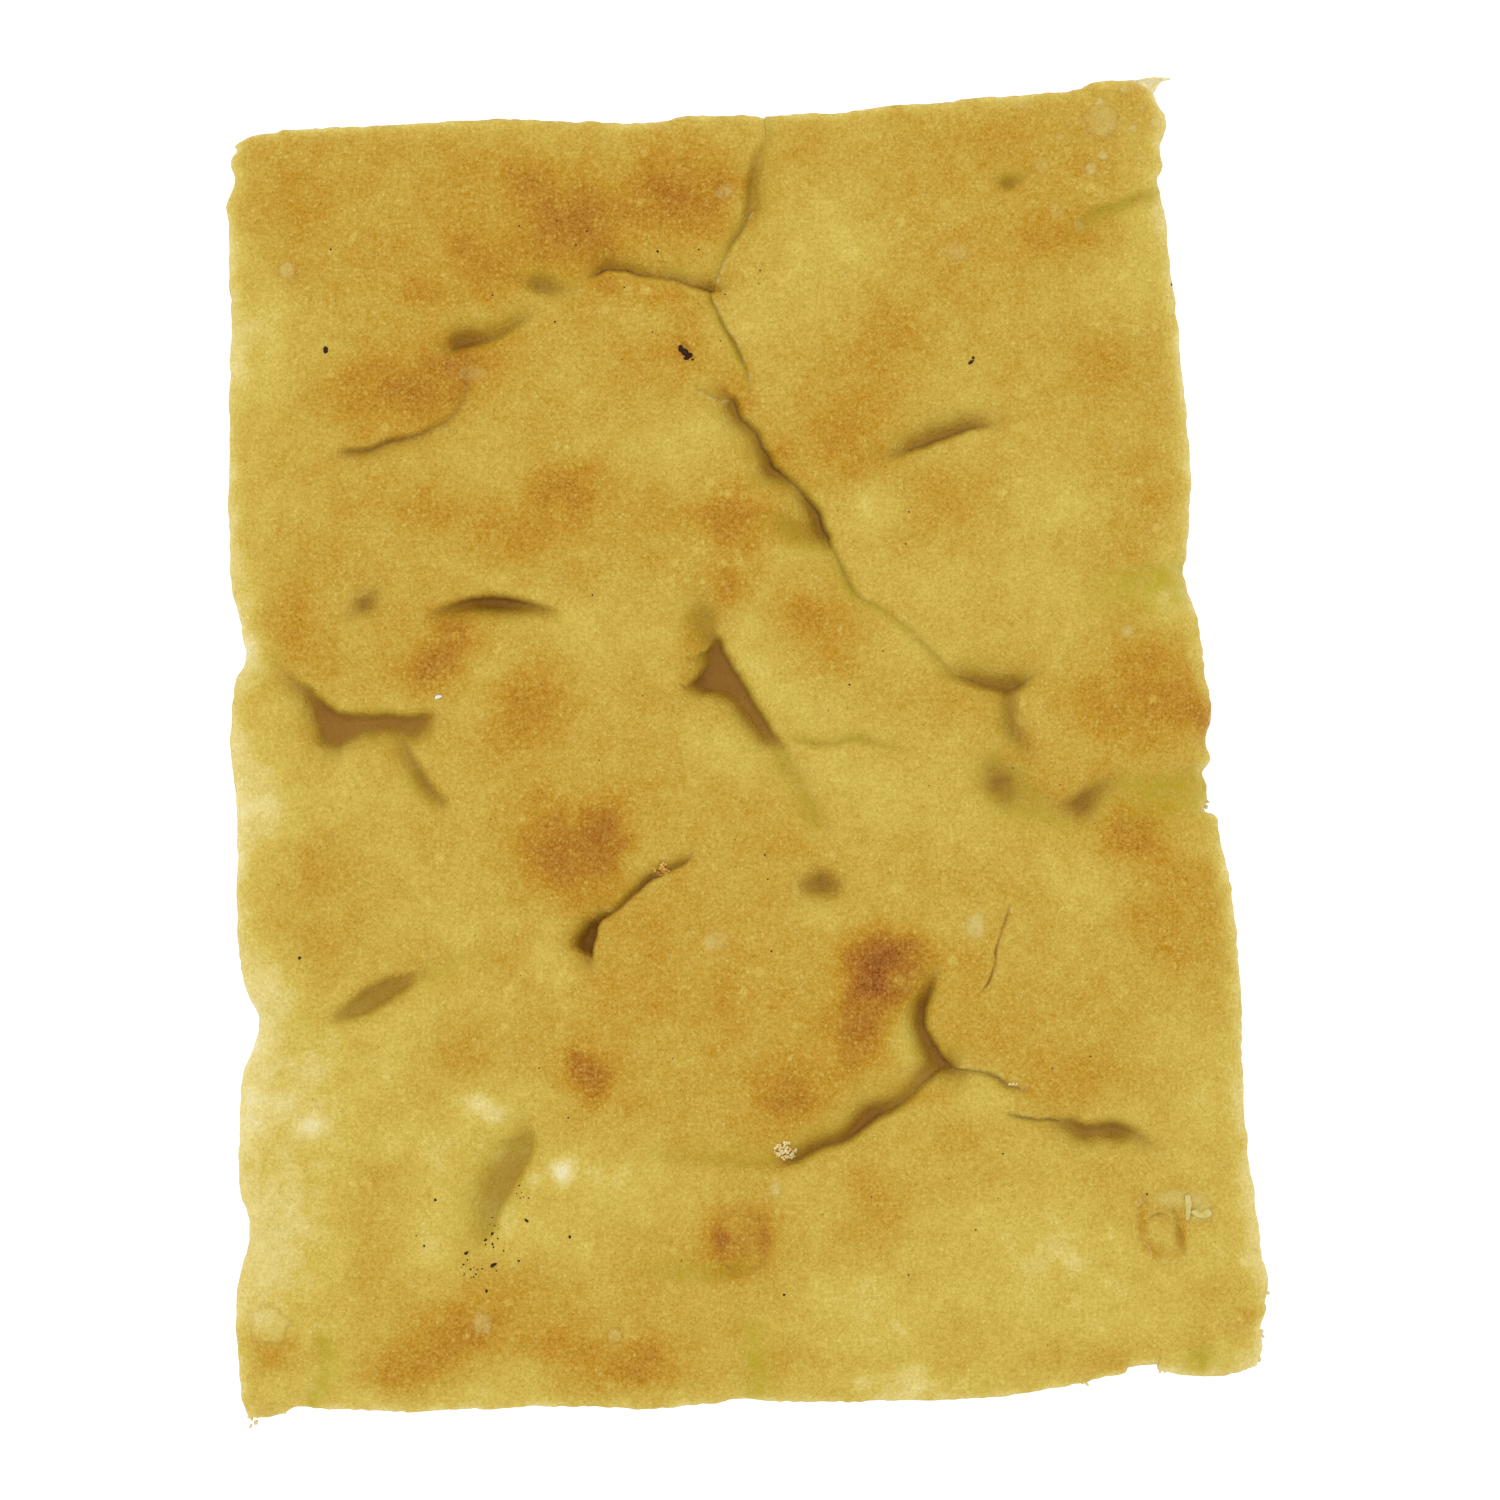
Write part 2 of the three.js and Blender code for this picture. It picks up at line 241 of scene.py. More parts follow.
FOLDS: tuple[Fold, ...] = (
    Fold("top seam above", ((769, 116, 0, 0.35), (766, 140, 0, 0.4), (758, 160, 0.1, 0.6),
         (751, 180, 0.3, 1), (749, 205, 0.5, 1), (746, 222, 0.2, 0.7)), depth=2.6, lip=Side.WEST,
         soft=1.8, steep=0.8, overhang=0.3, stain=0.45, olive=0.6, line=0.3),
    Fold("top seam below", ((750, 215, 0.3, 0.8), (742, 232, 0.3, 0.9), (733, 246, 0.1, 0.8),
         (724, 262, 0.1, 0.5), (714, 290, 0.3, 0.7)), depth=2.0, lip=Side.EAST, soft=1.0, steep=0.5,
         overhang=0.3, stain=0.4, olive=0.8, torn=0.7, line=0.45),
    Fold("upper fold", ((590, 281, 0, 0.2), (599, 277, 0, 0.7), (605, 273, 0.1, 1), (612, 272, 0.2, 1),
         (624, 273, 0, 0.9), (638, 277, 0, 0.8), (651, 279, 0, 0.65), (665, 280, 0, 0.6),
         (678, 283, 0, 0.75), (692, 288, 0, 0.7), (702, 291, 0.1, 0.85), (710, 293, 0.4, 1),
         (717, 292, 0.1, 0.7)), depth=3.2, lip=Side.SOUTH, soft=1.9, steep=0.5, overhang=0.4,
         stain=0.65, olive=0.5, line=0.8),
    Fold("upper dimple", ((528, 284, 0.1, 0.4), (538, 288, 0.4, 1), (548, 291, 0.4, 1),
         (564, 293, 0.1, 0.5), (580, 290, 0, 0.2)), depth=3.0, lip=Side.SOUTH, soft=2.0, steep=1.2,
         overhang=0.1, stain=0.65, olive=0.8, line=0.15),
    Fold("upper seam", ((711, 296, 0.1, 0.8), (715, 309, 0, 0.7), (722, 323, 0, 0.75),
         (726, 331, 0, 0.8), (731, 338, 0.1, 0.9), (736, 347, 0.2, 0.9), (743, 361, 0.1, 0.8),
         (748, 379, 0, 0.4), (751, 396, 0, 0.2)), depth=1.7, lip=Side.EAST, soft=0.7, steep=0.4,
         overhang=0.3, stain=0.35, olive=0.9, torn=0.35, line=0.6),
    Fold("long fold head", ((694, 388, 0, 0.3), (706, 395, 0, 0.6), (716, 400, 0, 0.7),
         (728, 401, 0.1, 0.7)), depth=1.2, lip=Side.SOUTH, soft=0.9, steep=0.5, overhang=0.2,
         stain=0.35, olive=0.7, torn=0.6, line=0.25),
    Fold("long fold", ((729, 399, 0.3, 0.6), (735, 404, 0.5, 0.8), (741, 419, 0.1, 0.8),
         (752, 429, 0, 0.75), (760, 441, 0, 0.8), (769, 459, 0.1, 0.95), (774, 468, 0.4, 1.05),
         (781, 473, 0.1, 0.9), (792, 483, 0, 0.65), (801, 491, 0, 0.65), (811, 505, 0.1, 0.9),
         (820, 519, 0.4, 1), (825, 533, 0.4, 1), (829, 542, 0, 0.7), (833, 550, 0, 0.3)), depth=4.6,
         lip=Side.NORTH_EAST, soft=2.2, steep=0.7, overhang=0.4, stain=0.85, olive=0.8, line=0.95),
    Fold("long fold's side", ((774, 519, 0, 0.4), (788, 524, 0.4, 0.9), (802, 530, 0.6, 1),
         (814, 537, 0.3, 0.8)), depth=2.2, lip=Side.NORTH_EAST, soft=2.0, steep=1.8, stain=0.4,
         olive=1.0, line=0.0),
    Fold("thin seam", ((829, 543, 0, 0.7), (840, 563, 0, 0.9), (851, 587, 0.1, 0.9),
         (862, 600, 0, 0.7), (888, 613, 0, 0.5), (932, 652, 0.1, 0.6), (953, 674, 0.1, 0.8)),
         depth=1.5, lip=Side.NORTH_EAST, soft=1.0, steep=0.6, overhang=0.2, stain=0.3, olive=1.0,
         line=0.4),
    Fold("right fold", ((950, 676, 0, 0.3), (962, 679, 0, 0.7), (978, 683, 0.1, 0.9),
         (993, 687, 0.3, 1), (1005, 690, 0.6, 1.1), (1018, 688, 0.3, 1), (1027, 681, 0, 0.5),
         (1034, 676, 0, 0.2)), depth=4.0, lip=Side.SOUTH, soft=2.4, steep=0.9, overhang=0.3, stain=0.8,
         olive=0.9, line=0.45),
    Fold("right branch", ((1009, 693, 0.4, 0.9), (1010, 712, 0.2, 0.9), (1014, 727, 0.3, 0.95),
         (1019, 738, 0.2, 0.8), (1025, 748, 0, 0.5), (1032, 758, 0, 0.2)), depth=3.4, lip=Side.EAST,
         soft=1.8, steep=1.3, overhang=0.1, stain=0.75, olive=0.8, line=0.1),
    Fold("right dimple", ((995, 775, 0.3, 0.7), (998, 783, 0.9, 1), (1003, 790, 0.5, 0.8)), depth=5.0,
         lip=Side.SOUTH, soft=2.8, steep=2.3, stain=0.85, olive=1.0, line=0.0),
    Fold("far right dimple", ((1066, 806, 0.3, 0.6), (1074, 803, 0.9, 0.95), (1082, 797, 0.9, 1),
         (1092, 790, 0.2, 0.8), (1104, 784, 0, 0.5), (1118, 779, 0, 0.2)), depth=4.4, lip=Side.NORTH,
         soft=2.2, steep=1.3, overhang=0.2, stain=0.85, olive=1.0, line=0.2),
    Fold("right run-out", ((1116, 782, 0.3, 0.5), (1140, 786, 0.8, 0.7), (1165, 784, 1.2, 0.8),
         (1208, 775, 1.6, 0.8)), depth=2.2, lip=Side.NORTH, soft=3.2, steep=2.0, stain=0.12, olive=1.0,
         line=0.0),
    Fold("left fold", ((282, 670, 0, 0.2), (299, 684, 0, 0.5), (316, 699, 0.2, 0.9),
         (323, 704, 0.6, 1), (331, 711, 1.6, 1.05), (339, 716, 3.1, 1.05), (346, 717, 2.8, 1.05),
         (354, 718, 1.8, 1), (365, 718, 1.1, 0.95), (385, 718, 0.8, 0.95), (400, 719, 0.9, 0.95),
         (414, 719, 1.3, 0.9), (425, 719, 0.8, 0.75), (437, 718, 0, 0.2)), depth=4.6, lip=Side.NORTH,
         soft=2.4, steep=0.9, overhang=0.3, stain=1.0, olive=0.9, line=0.15),
    Fold("left run-out", ((230, 646, 0, 0.8), (258, 658, 0.5, 0.8), (280, 664, 0.3, 0.8)), depth=1.8,
         lip=Side.NORTH, soft=3.0, steep=2.4, stain=0.0, olive=0.3, line=0.0),
    Fold("left branch", ((404, 738, 0.5, 0.7), (411, 757, 0.4, 0.8), (420, 773, 0.1, 0.9),
         (431, 788, 0.1, 0.9), (442, 801, 0, 0.6), (448, 808, 0, 0.2)), depth=3.2, lip=Side.NORTH_EAST,
         soft=1.7, steep=1.0, overhang=0.2, stain=0.65, olive=0.9, line=0.3),
    Fold("eye fold", ((436, 613, 0, 0.3), (452, 607, 0.2, 0.6), (468, 602, 0.4, 0.85),
         (484, 599, 0.7, 1.05), (500, 598, 0.8, 1.1), (518, 601, 0.5, 0.9), (536, 606, 0.2, 0.6),
         (552, 612, 0, 0.3)), depth=5.6, lip=Side.NORTH, soft=1.7, steep=0.7, overhang=0.5, olive=0.8,
         line=0.55),
    Fold("eye dimple", ((350, 619, 0, 0.2), (357, 611, 0.1, 0.5), (363, 605, 0.4, 1),
         (370, 600, 0.3, 0.9), (378, 594, 0, 0.4)), depth=3.2, lip=Side.NORTH, soft=1.6, steep=1.3,
         stain=0.8, olive=0.8, line=0.0),
    Fold("upper left fold", ((452, 352, 0.1, 0.5), (460, 348, 0.6, 1), (472, 346, 0.7, 1),
         (486, 341, 0.2, 0.8), (503, 336, 0.1, 0.6), (518, 326, 0, 0.5), (534, 316, 0, 0.2)),
         depth=4.2, lip=Side.SOUTH, soft=2.0, steep=0.8, overhang=0.3, stain=0.85, olive=0.8,
         line=0.4),
    Fold("left hairline", ((340, 453, 0, 0.3), (355, 452, 0.2, 0.8), (372, 450, 0, 0.9),
         (392, 442, 0, 0.9), (410, 438, 0, 0.8), (430, 431, 0, 0.6), (448, 421, 0, 0.5),
         (460, 408, 0, 0.4), (467, 388, 0, 0.3), (468, 360, 0, 0.2)), depth=2.4, lip=Side.NORTH,
         soft=1.3, steep=0.6, overhang=0.3, stain=0.7, olive=0.5, line=0.6),
    Fold("centre approach", ((700, 604, 0.2, 0.4), (705, 616, 0.7, 0.9), (708, 628, 0.7, 0.9),
         (711, 638, 0.3, 0.6)), depth=3.2, lip=Side.EAST, soft=2.4, steep=2.0, stain=0.5, olive=0.9,
         line=0.0),
    Fold("centre pit", ((714, 638, 0.4, 0.6), (720, 643, 0.9, 0.9), (722, 652, 1.3, 1),
         (725, 658, 2.4, 1.05), (728, 663, 4.5, 1.1), (733, 672, 4.1, 1.1), (738, 680, 2.4, 1.1),
         (747, 694, 1.2, 1), (756, 710, 0.9, 0.95), (769, 731, 0.5, 0.85), (778, 742, 0.2, 0.5),
         (786, 752, 0, 0.1)), depth=5.8, lip=Side.NORTH_EAST, soft=2.2, steep=0.8, overhang=0.4,
         olive=0.8, line=0.25),
    Fold("centre tail", ((781, 750, 0.3, 0.8), (789, 767, 0.3, 0.8), (799, 782, 0.3, 0.7),
         (808, 798, 0.3, 0.7), (816, 813, 0.3, 0.7), (828, 828, 0, 0.4)), depth=2.0, lip=Side.EAST,
         soft=1.5, steep=1.3, stain=0.3, olive=1.0, line=0.0),
    Fold("centre cross line", ((796, 742, 0, 0.6), (827, 745, 0, 0.8), (858, 740, 0, 0.7),
         (877, 745, 0, 0.6), (898, 750, 0, 0.3)), depth=1.2, lip=Side.SOUTH, soft=1.0, steep=0.8,
         stain=0.3, olive=1.0, line=0.15),
    Fold("small dimple", ((812, 884, 0.5, 0.8), (821, 881, 1.0, 1), (830, 884, 0.5, 0.8)), depth=5.2,
         lip=Side.NORTH, soft=1.7, steep=1.5, stain=0.8, olive=0.9, line=0.2),
    Fold("middle pit", ((602, 921, 0.1, 0.7), (599, 927, 0.5, 1), (597, 933, 0.9, 1.05),
         (595, 941, 1.2, 1.1), (594, 950, 1.0, 1), (592, 957, 0.2, 0.4)), depth=6.8, lip=Side.EAST,
         soft=1.8, steep=0.5, overhang=0.6, olive=0.6, line=0.3),
    Fold("middle fold", ((601, 921, 0, 0.8), (610, 914, 0, 0.85), (620, 907, 0, 0.8),
         (628, 899, 0, 0.85), (636, 892, 0.05, 0.9), (645, 885, 0.15, 1), (653, 879, 0.2, 1),
         (661, 874, 0.1, 0.8), (669, 871, 0.1, 0.75), (677, 867, 0.1, 0.75), (684, 864, 0.1, 0.7),
         (688, 860, 0, 0.5), (693, 853, 0, 0.2)), depth=3.0, lip=Side.SOUTH_EAST, soft=1.1, steep=0.5,
         overhang=0.4, stain=0.8, olive=0.4, line=0.6),
    Fold("slot link", ((424, 974, 0.1, 0.8), (440, 966, 0.1, 0.6), (480, 950, 0, 0.3)), depth=0.7,
         lip=Side.NORTH, soft=1.6, steep=1.6, stain=0.1, olive=0.7, line=0.0),
    Fold("left slot", ((334, 1018, 0, 0.3), (346, 1010, 0.6, 0.8), (358, 1001, 1.4, 0.95),
         (370, 993, 1.7, 1), (382, 987, 1.7, 1), (394, 982, 1.2, 0.95), (406, 979, 0.6, 0.8),
         (418, 976, 0.1, 0.4), (430, 970, 0, 0.2)), depth=3.8, lip=Side.NORTH, soft=1.0, steep=1.0,
         overhang=0.1, stain=0.64, olive=0.7, line=0.0),
    Fold("lower run-out", ((254, 1012, 0.3, 0.8), (290, 1018, 0.4, 0.6), (325, 1022, 0.1, 0.4)),
         depth=1.8, lip=Side.NORTH, soft=3.0, steep=2.4, stain=0.0, olive=0.3, line=0.0),
    Fold("broad dimple", ((526, 1124, 0.3, 0.3), (531, 1138, 0.8, 0.7), (525, 1157, 1.2, 0.95),
         (518, 1170, 1.5, 1), (507, 1188, 1.6, 1.05), (500, 1201, 1.2, 1), (493, 1218, 0.6, 0.8),
         (484, 1232, 0.2, 0.5), (475, 1244, 0, 0.2)), depth=4.2, lip=Side.EAST, soft=3.2, steep=0.9,
         overhang=0.1, stain=0.5, olive=0.7, line=0.0),
    Fold("lower stem", ((934, 974, 0, 0.3), (930, 988, 0, 0.7), (925, 1003, 0.2, 1),
         (924, 1014, 0.3, 1), (925, 1029, 0.4, 0.95), (932, 1043, 0.7, 1), (941, 1056, 0.9, 1.05),
         (950, 1064, 0.5, 0.9), (958, 1068, 0.2, 0.6)), depth=5.0, lip=Side.EAST, soft=2.0, steep=0.7,
         overhang=0.4, olive=0.9, line=0.5),
    Fold("lower left fold", ((946, 1066, 0.5, 0.8), (934, 1074, 0.9, 0.85), (924, 1081, 0.6, 0.75),
         (912, 1094, 0.3, 0.65), (900, 1104, 0.3, 0.75), (888, 1110, 0.5, 0.9), (874, 1119, 0.9, 1.05),
         (862, 1128, 0.6, 1), (851, 1135, 0.3, 0.95), (838, 1141, 0.1, 0.85), (823, 1146, 0, 0.85),
         (808, 1153, 0, 0.8), (796, 1159, 0.1, 0.7), (784, 1161, 0, 0.4)), depth=4.8,
         lip=Side.SOUTH_EAST, soft=2.2, steep=0.7, overhang=0.4, olive=0.9, line=0.5),
    Fold("lower left tail", ((790, 1160, 0.1, 0.8), (770, 1162, 0.1, 0.7), (735, 1161, 0.1, 0.6),
         (700, 1158, 0.1, 0.5), (662, 1156, 0, 0.3)), depth=1.3, lip=Side.SOUTH, soft=1.8, steep=1.0,
         overhang=0.1, stain=0.2, olive=0.9, line=0.12),
    Fold("lower right fold", ((956, 1067, 0.2, 0.8), (968, 1069, 0.1, 0.75), (983, 1071, 0, 0.7),
         (996, 1075, 0, 0.8), (1004, 1081, 0.1, 0.8), (1014, 1085, 0.1, 0.6), (1024, 1088, 0, 0.3)),
         depth=2.2, lip=Side.NORTH, soft=0.9, steep=0.4, overhang=0.3, stain=0.6, olive=0.8, torn=0.5),
    Fold("far right hairline", ((1008, 1112, 0, 0.5), (1022, 1115, 0, 0.8), (1036, 1118, 0, 0.9),
         (1050, 1117, 0, 1), (1058, 1119, 0.1, 1)), depth=1.4, lip=Side.NORTH, soft=0.7, steep=0.4,
         overhang=0.2, stain=0.5, olive=0.7, torn=0.3, line=0.75),
    Fold("far right slot", ((1056, 1119, 0, 0.5), (1070, 1123, 0.3, 0.8), (1082, 1127, 0.5, 1),
         (1096, 1127, 0.5, 0.95), (1110, 1124, 0.7, 1.05), (1120, 1127, 0.6, 1),
         (1132, 1132, 0.2, 0.7), (1144, 1139, 0, 0.4), (1152, 1144, 0, 0.2)), depth=4.4,
         lip=Side.NORTH, soft=2.0, steep=1.0, overhang=0.2, stain=0.85, olive=0.9, line=0.35),
    Fold("right eye", ((888, 458, 0, 0.3), (905, 453, 0, 0.7), (922, 447, 0.2, 0.95),
         (942, 440, 0.3, 1.05), (960, 433, 0.2, 1), (976, 429, 0.1, 0.8), (992, 427, 0, 0.3)),
         depth=4.0, lip=Side.SOUTH, soft=2.6, steep=0.7, overhang=0.4, stain=0.8, olive=0.6,
         line=0.55),
    Fold("top dimple", ((998, 184, 0, 0.5), (1006, 187, 0.3, 1), (1013, 185, 0.2, 0.8),
         (1023, 180, 0, 0.3)), depth=2.4, lip=Side.SOUTH, soft=1.5, steep=0.9, overhang=0.1, stain=0.5,
         olive=0.9, line=0.15),
    Fold("upper right valley", ((1166, 188, 0.2, 1), (1150, 194, 0.1, 1), (1135, 200, 0, 1),
         (1120, 207, 0, 0.9), (1108, 211, 0.1, 0.9), (1096, 214, 0.3, 0.9), (1084, 221, 0.5, 0.7),
         (1068, 234, 0.3, 0.3)), depth=2.2, lip=Side.NORTH, soft=1.6, steep=0.7, overhang=0.1,
         stain=0.1, olive=0.8, line=0.12),
    Fold("crack", ((1007, 904, 0, 0.1), (1005, 915, 0, 0.7), (999, 932, 0, 0.5), (994, 949, 0, 1),
         (993, 960, 0, 0.6), (988, 978, 0, 1), (980, 990, 0, 0.3)), depth=0.8, lip=Side.WEST,
         soft=0.35, steep=0.22, overhang=0.15, stain=0.6, olive=0.3),
    Fold("burst blister's rim", ((1143, 1194, 0, 0.4), (1139, 1204, 0.1, 1), (1138, 1216, 0.2, 1),
         (1140, 1230, 0.3, 1), (1146, 1242, 0.3, 0.9), (1156, 1252, 0.1, 0.7), (1168, 1257, 0, 0.4)),
         depth=0.8, lip=Side.WEST, soft=0.9, steep=0.5, overhang=0.1, stain=0.0, olive=0.2, torn=0.5,
         line=0.05),
    Fold("burst blister's slit", ((1170, 1203, 0, 0.3), (1174, 1212, 0, 0.8), (1177, 1224, 0.1, 0.9),
         (1180, 1236, 0.3, 1.1), (1182, 1246, 0.1, 0.9), (1183, 1253, 0, 0.4)), depth=1.2,
         lip=Side.EAST, soft=0.7, steep=0.35, overhang=0.1, stain=0.1, olive=0.2, line=0.2),
    Fold("burst blister's lid", ((1146, 1217, 0, 0.6), (1152, 1212, 0.1, 1), (1160, 1211, 0.1, 1),
         (1169, 1214, 0, 0.5)), depth=0.6, lip=Side.NORTH, soft=0.5, steep=0.25, overhang=0.1,
         stain=0.0, olive=0.1, line=0.4),
    Fold("right groove", ((1095, 584, 0.3, 0.3), (1130, 580, 0.8, 0.7), (1160, 574, 1.3, 0.9),
         (1192, 568, 1.6, 1)), depth=2.8, lip=Side.NORTH, soft=3.4, steep=2.0, stain=0.0, olive=1.0,
         line=0.0),
    Fold("lower left valley", ((238, 1228, 0.5, 1), (275, 1238, 0.4, 0.8), (300, 1242, 0, 0.3)),
         depth=1.8, lip=Side.NORTH, soft=4.0, steep=3.0, stain=0.0, olive=0.3, line=0.0),
    Fold("blister side line", ((640, 1268, 0, 0.3), (680, 1272, 0.1, 0.8), (720, 1274, 0.1, 1),
         (758, 1264, 0, 0.5)), depth=0.9, lip=Side.SOUTH, soft=1.6, steep=1.0, stain=0.1, olive=0.8,
         line=0.0),
    Fold("bottom groove", ((742, 1315, 0.1, 0.4), (750, 1345, 0.5, 1), (752, 1400, 0.5, 1)), depth=1.5,
         lip=Side.WEST, soft=2.2, steep=1.5, stain=0.0, olive=0.8, line=0.0),
    Fold("bottom left groove", ((318, 1322, 0, 0.3), (324, 1345, 0.2, 0.9), (325, 1365, 0.2, 0.8),
         (320, 1382, 0.3, 1), (312, 1396, 0.3, 1)), depth=1.3, lip=Side.WEST, soft=1.5, steep=1.0,
         stain=0.0, olive=1.0, line=0.0),
    Fold("bottom right dimple", ((1188, 1355, 0.1, 0.6), (1200, 1351, 0.5, 1), (1210, 1352, 0.1, 0.5)),
         depth=2.0, lip=Side.NORTH, soft=2.1, steep=1.9, stain=0.1, olive=1.0, line=0.0),
    Fold("right hollow", ((1000, 768, 0.5, 0.6), (1012, 782, 1.2, 0.9), (1026, 793, 1.0, 0.9),
         (1044, 801, 0.5, 0.7), (1064, 808, 0.4, 0.6)), depth=2.6, lip=Side.NORTH, soft=3.0, steep=2.4,
         stain=0.3, olive=1.0, line=0.0),
)
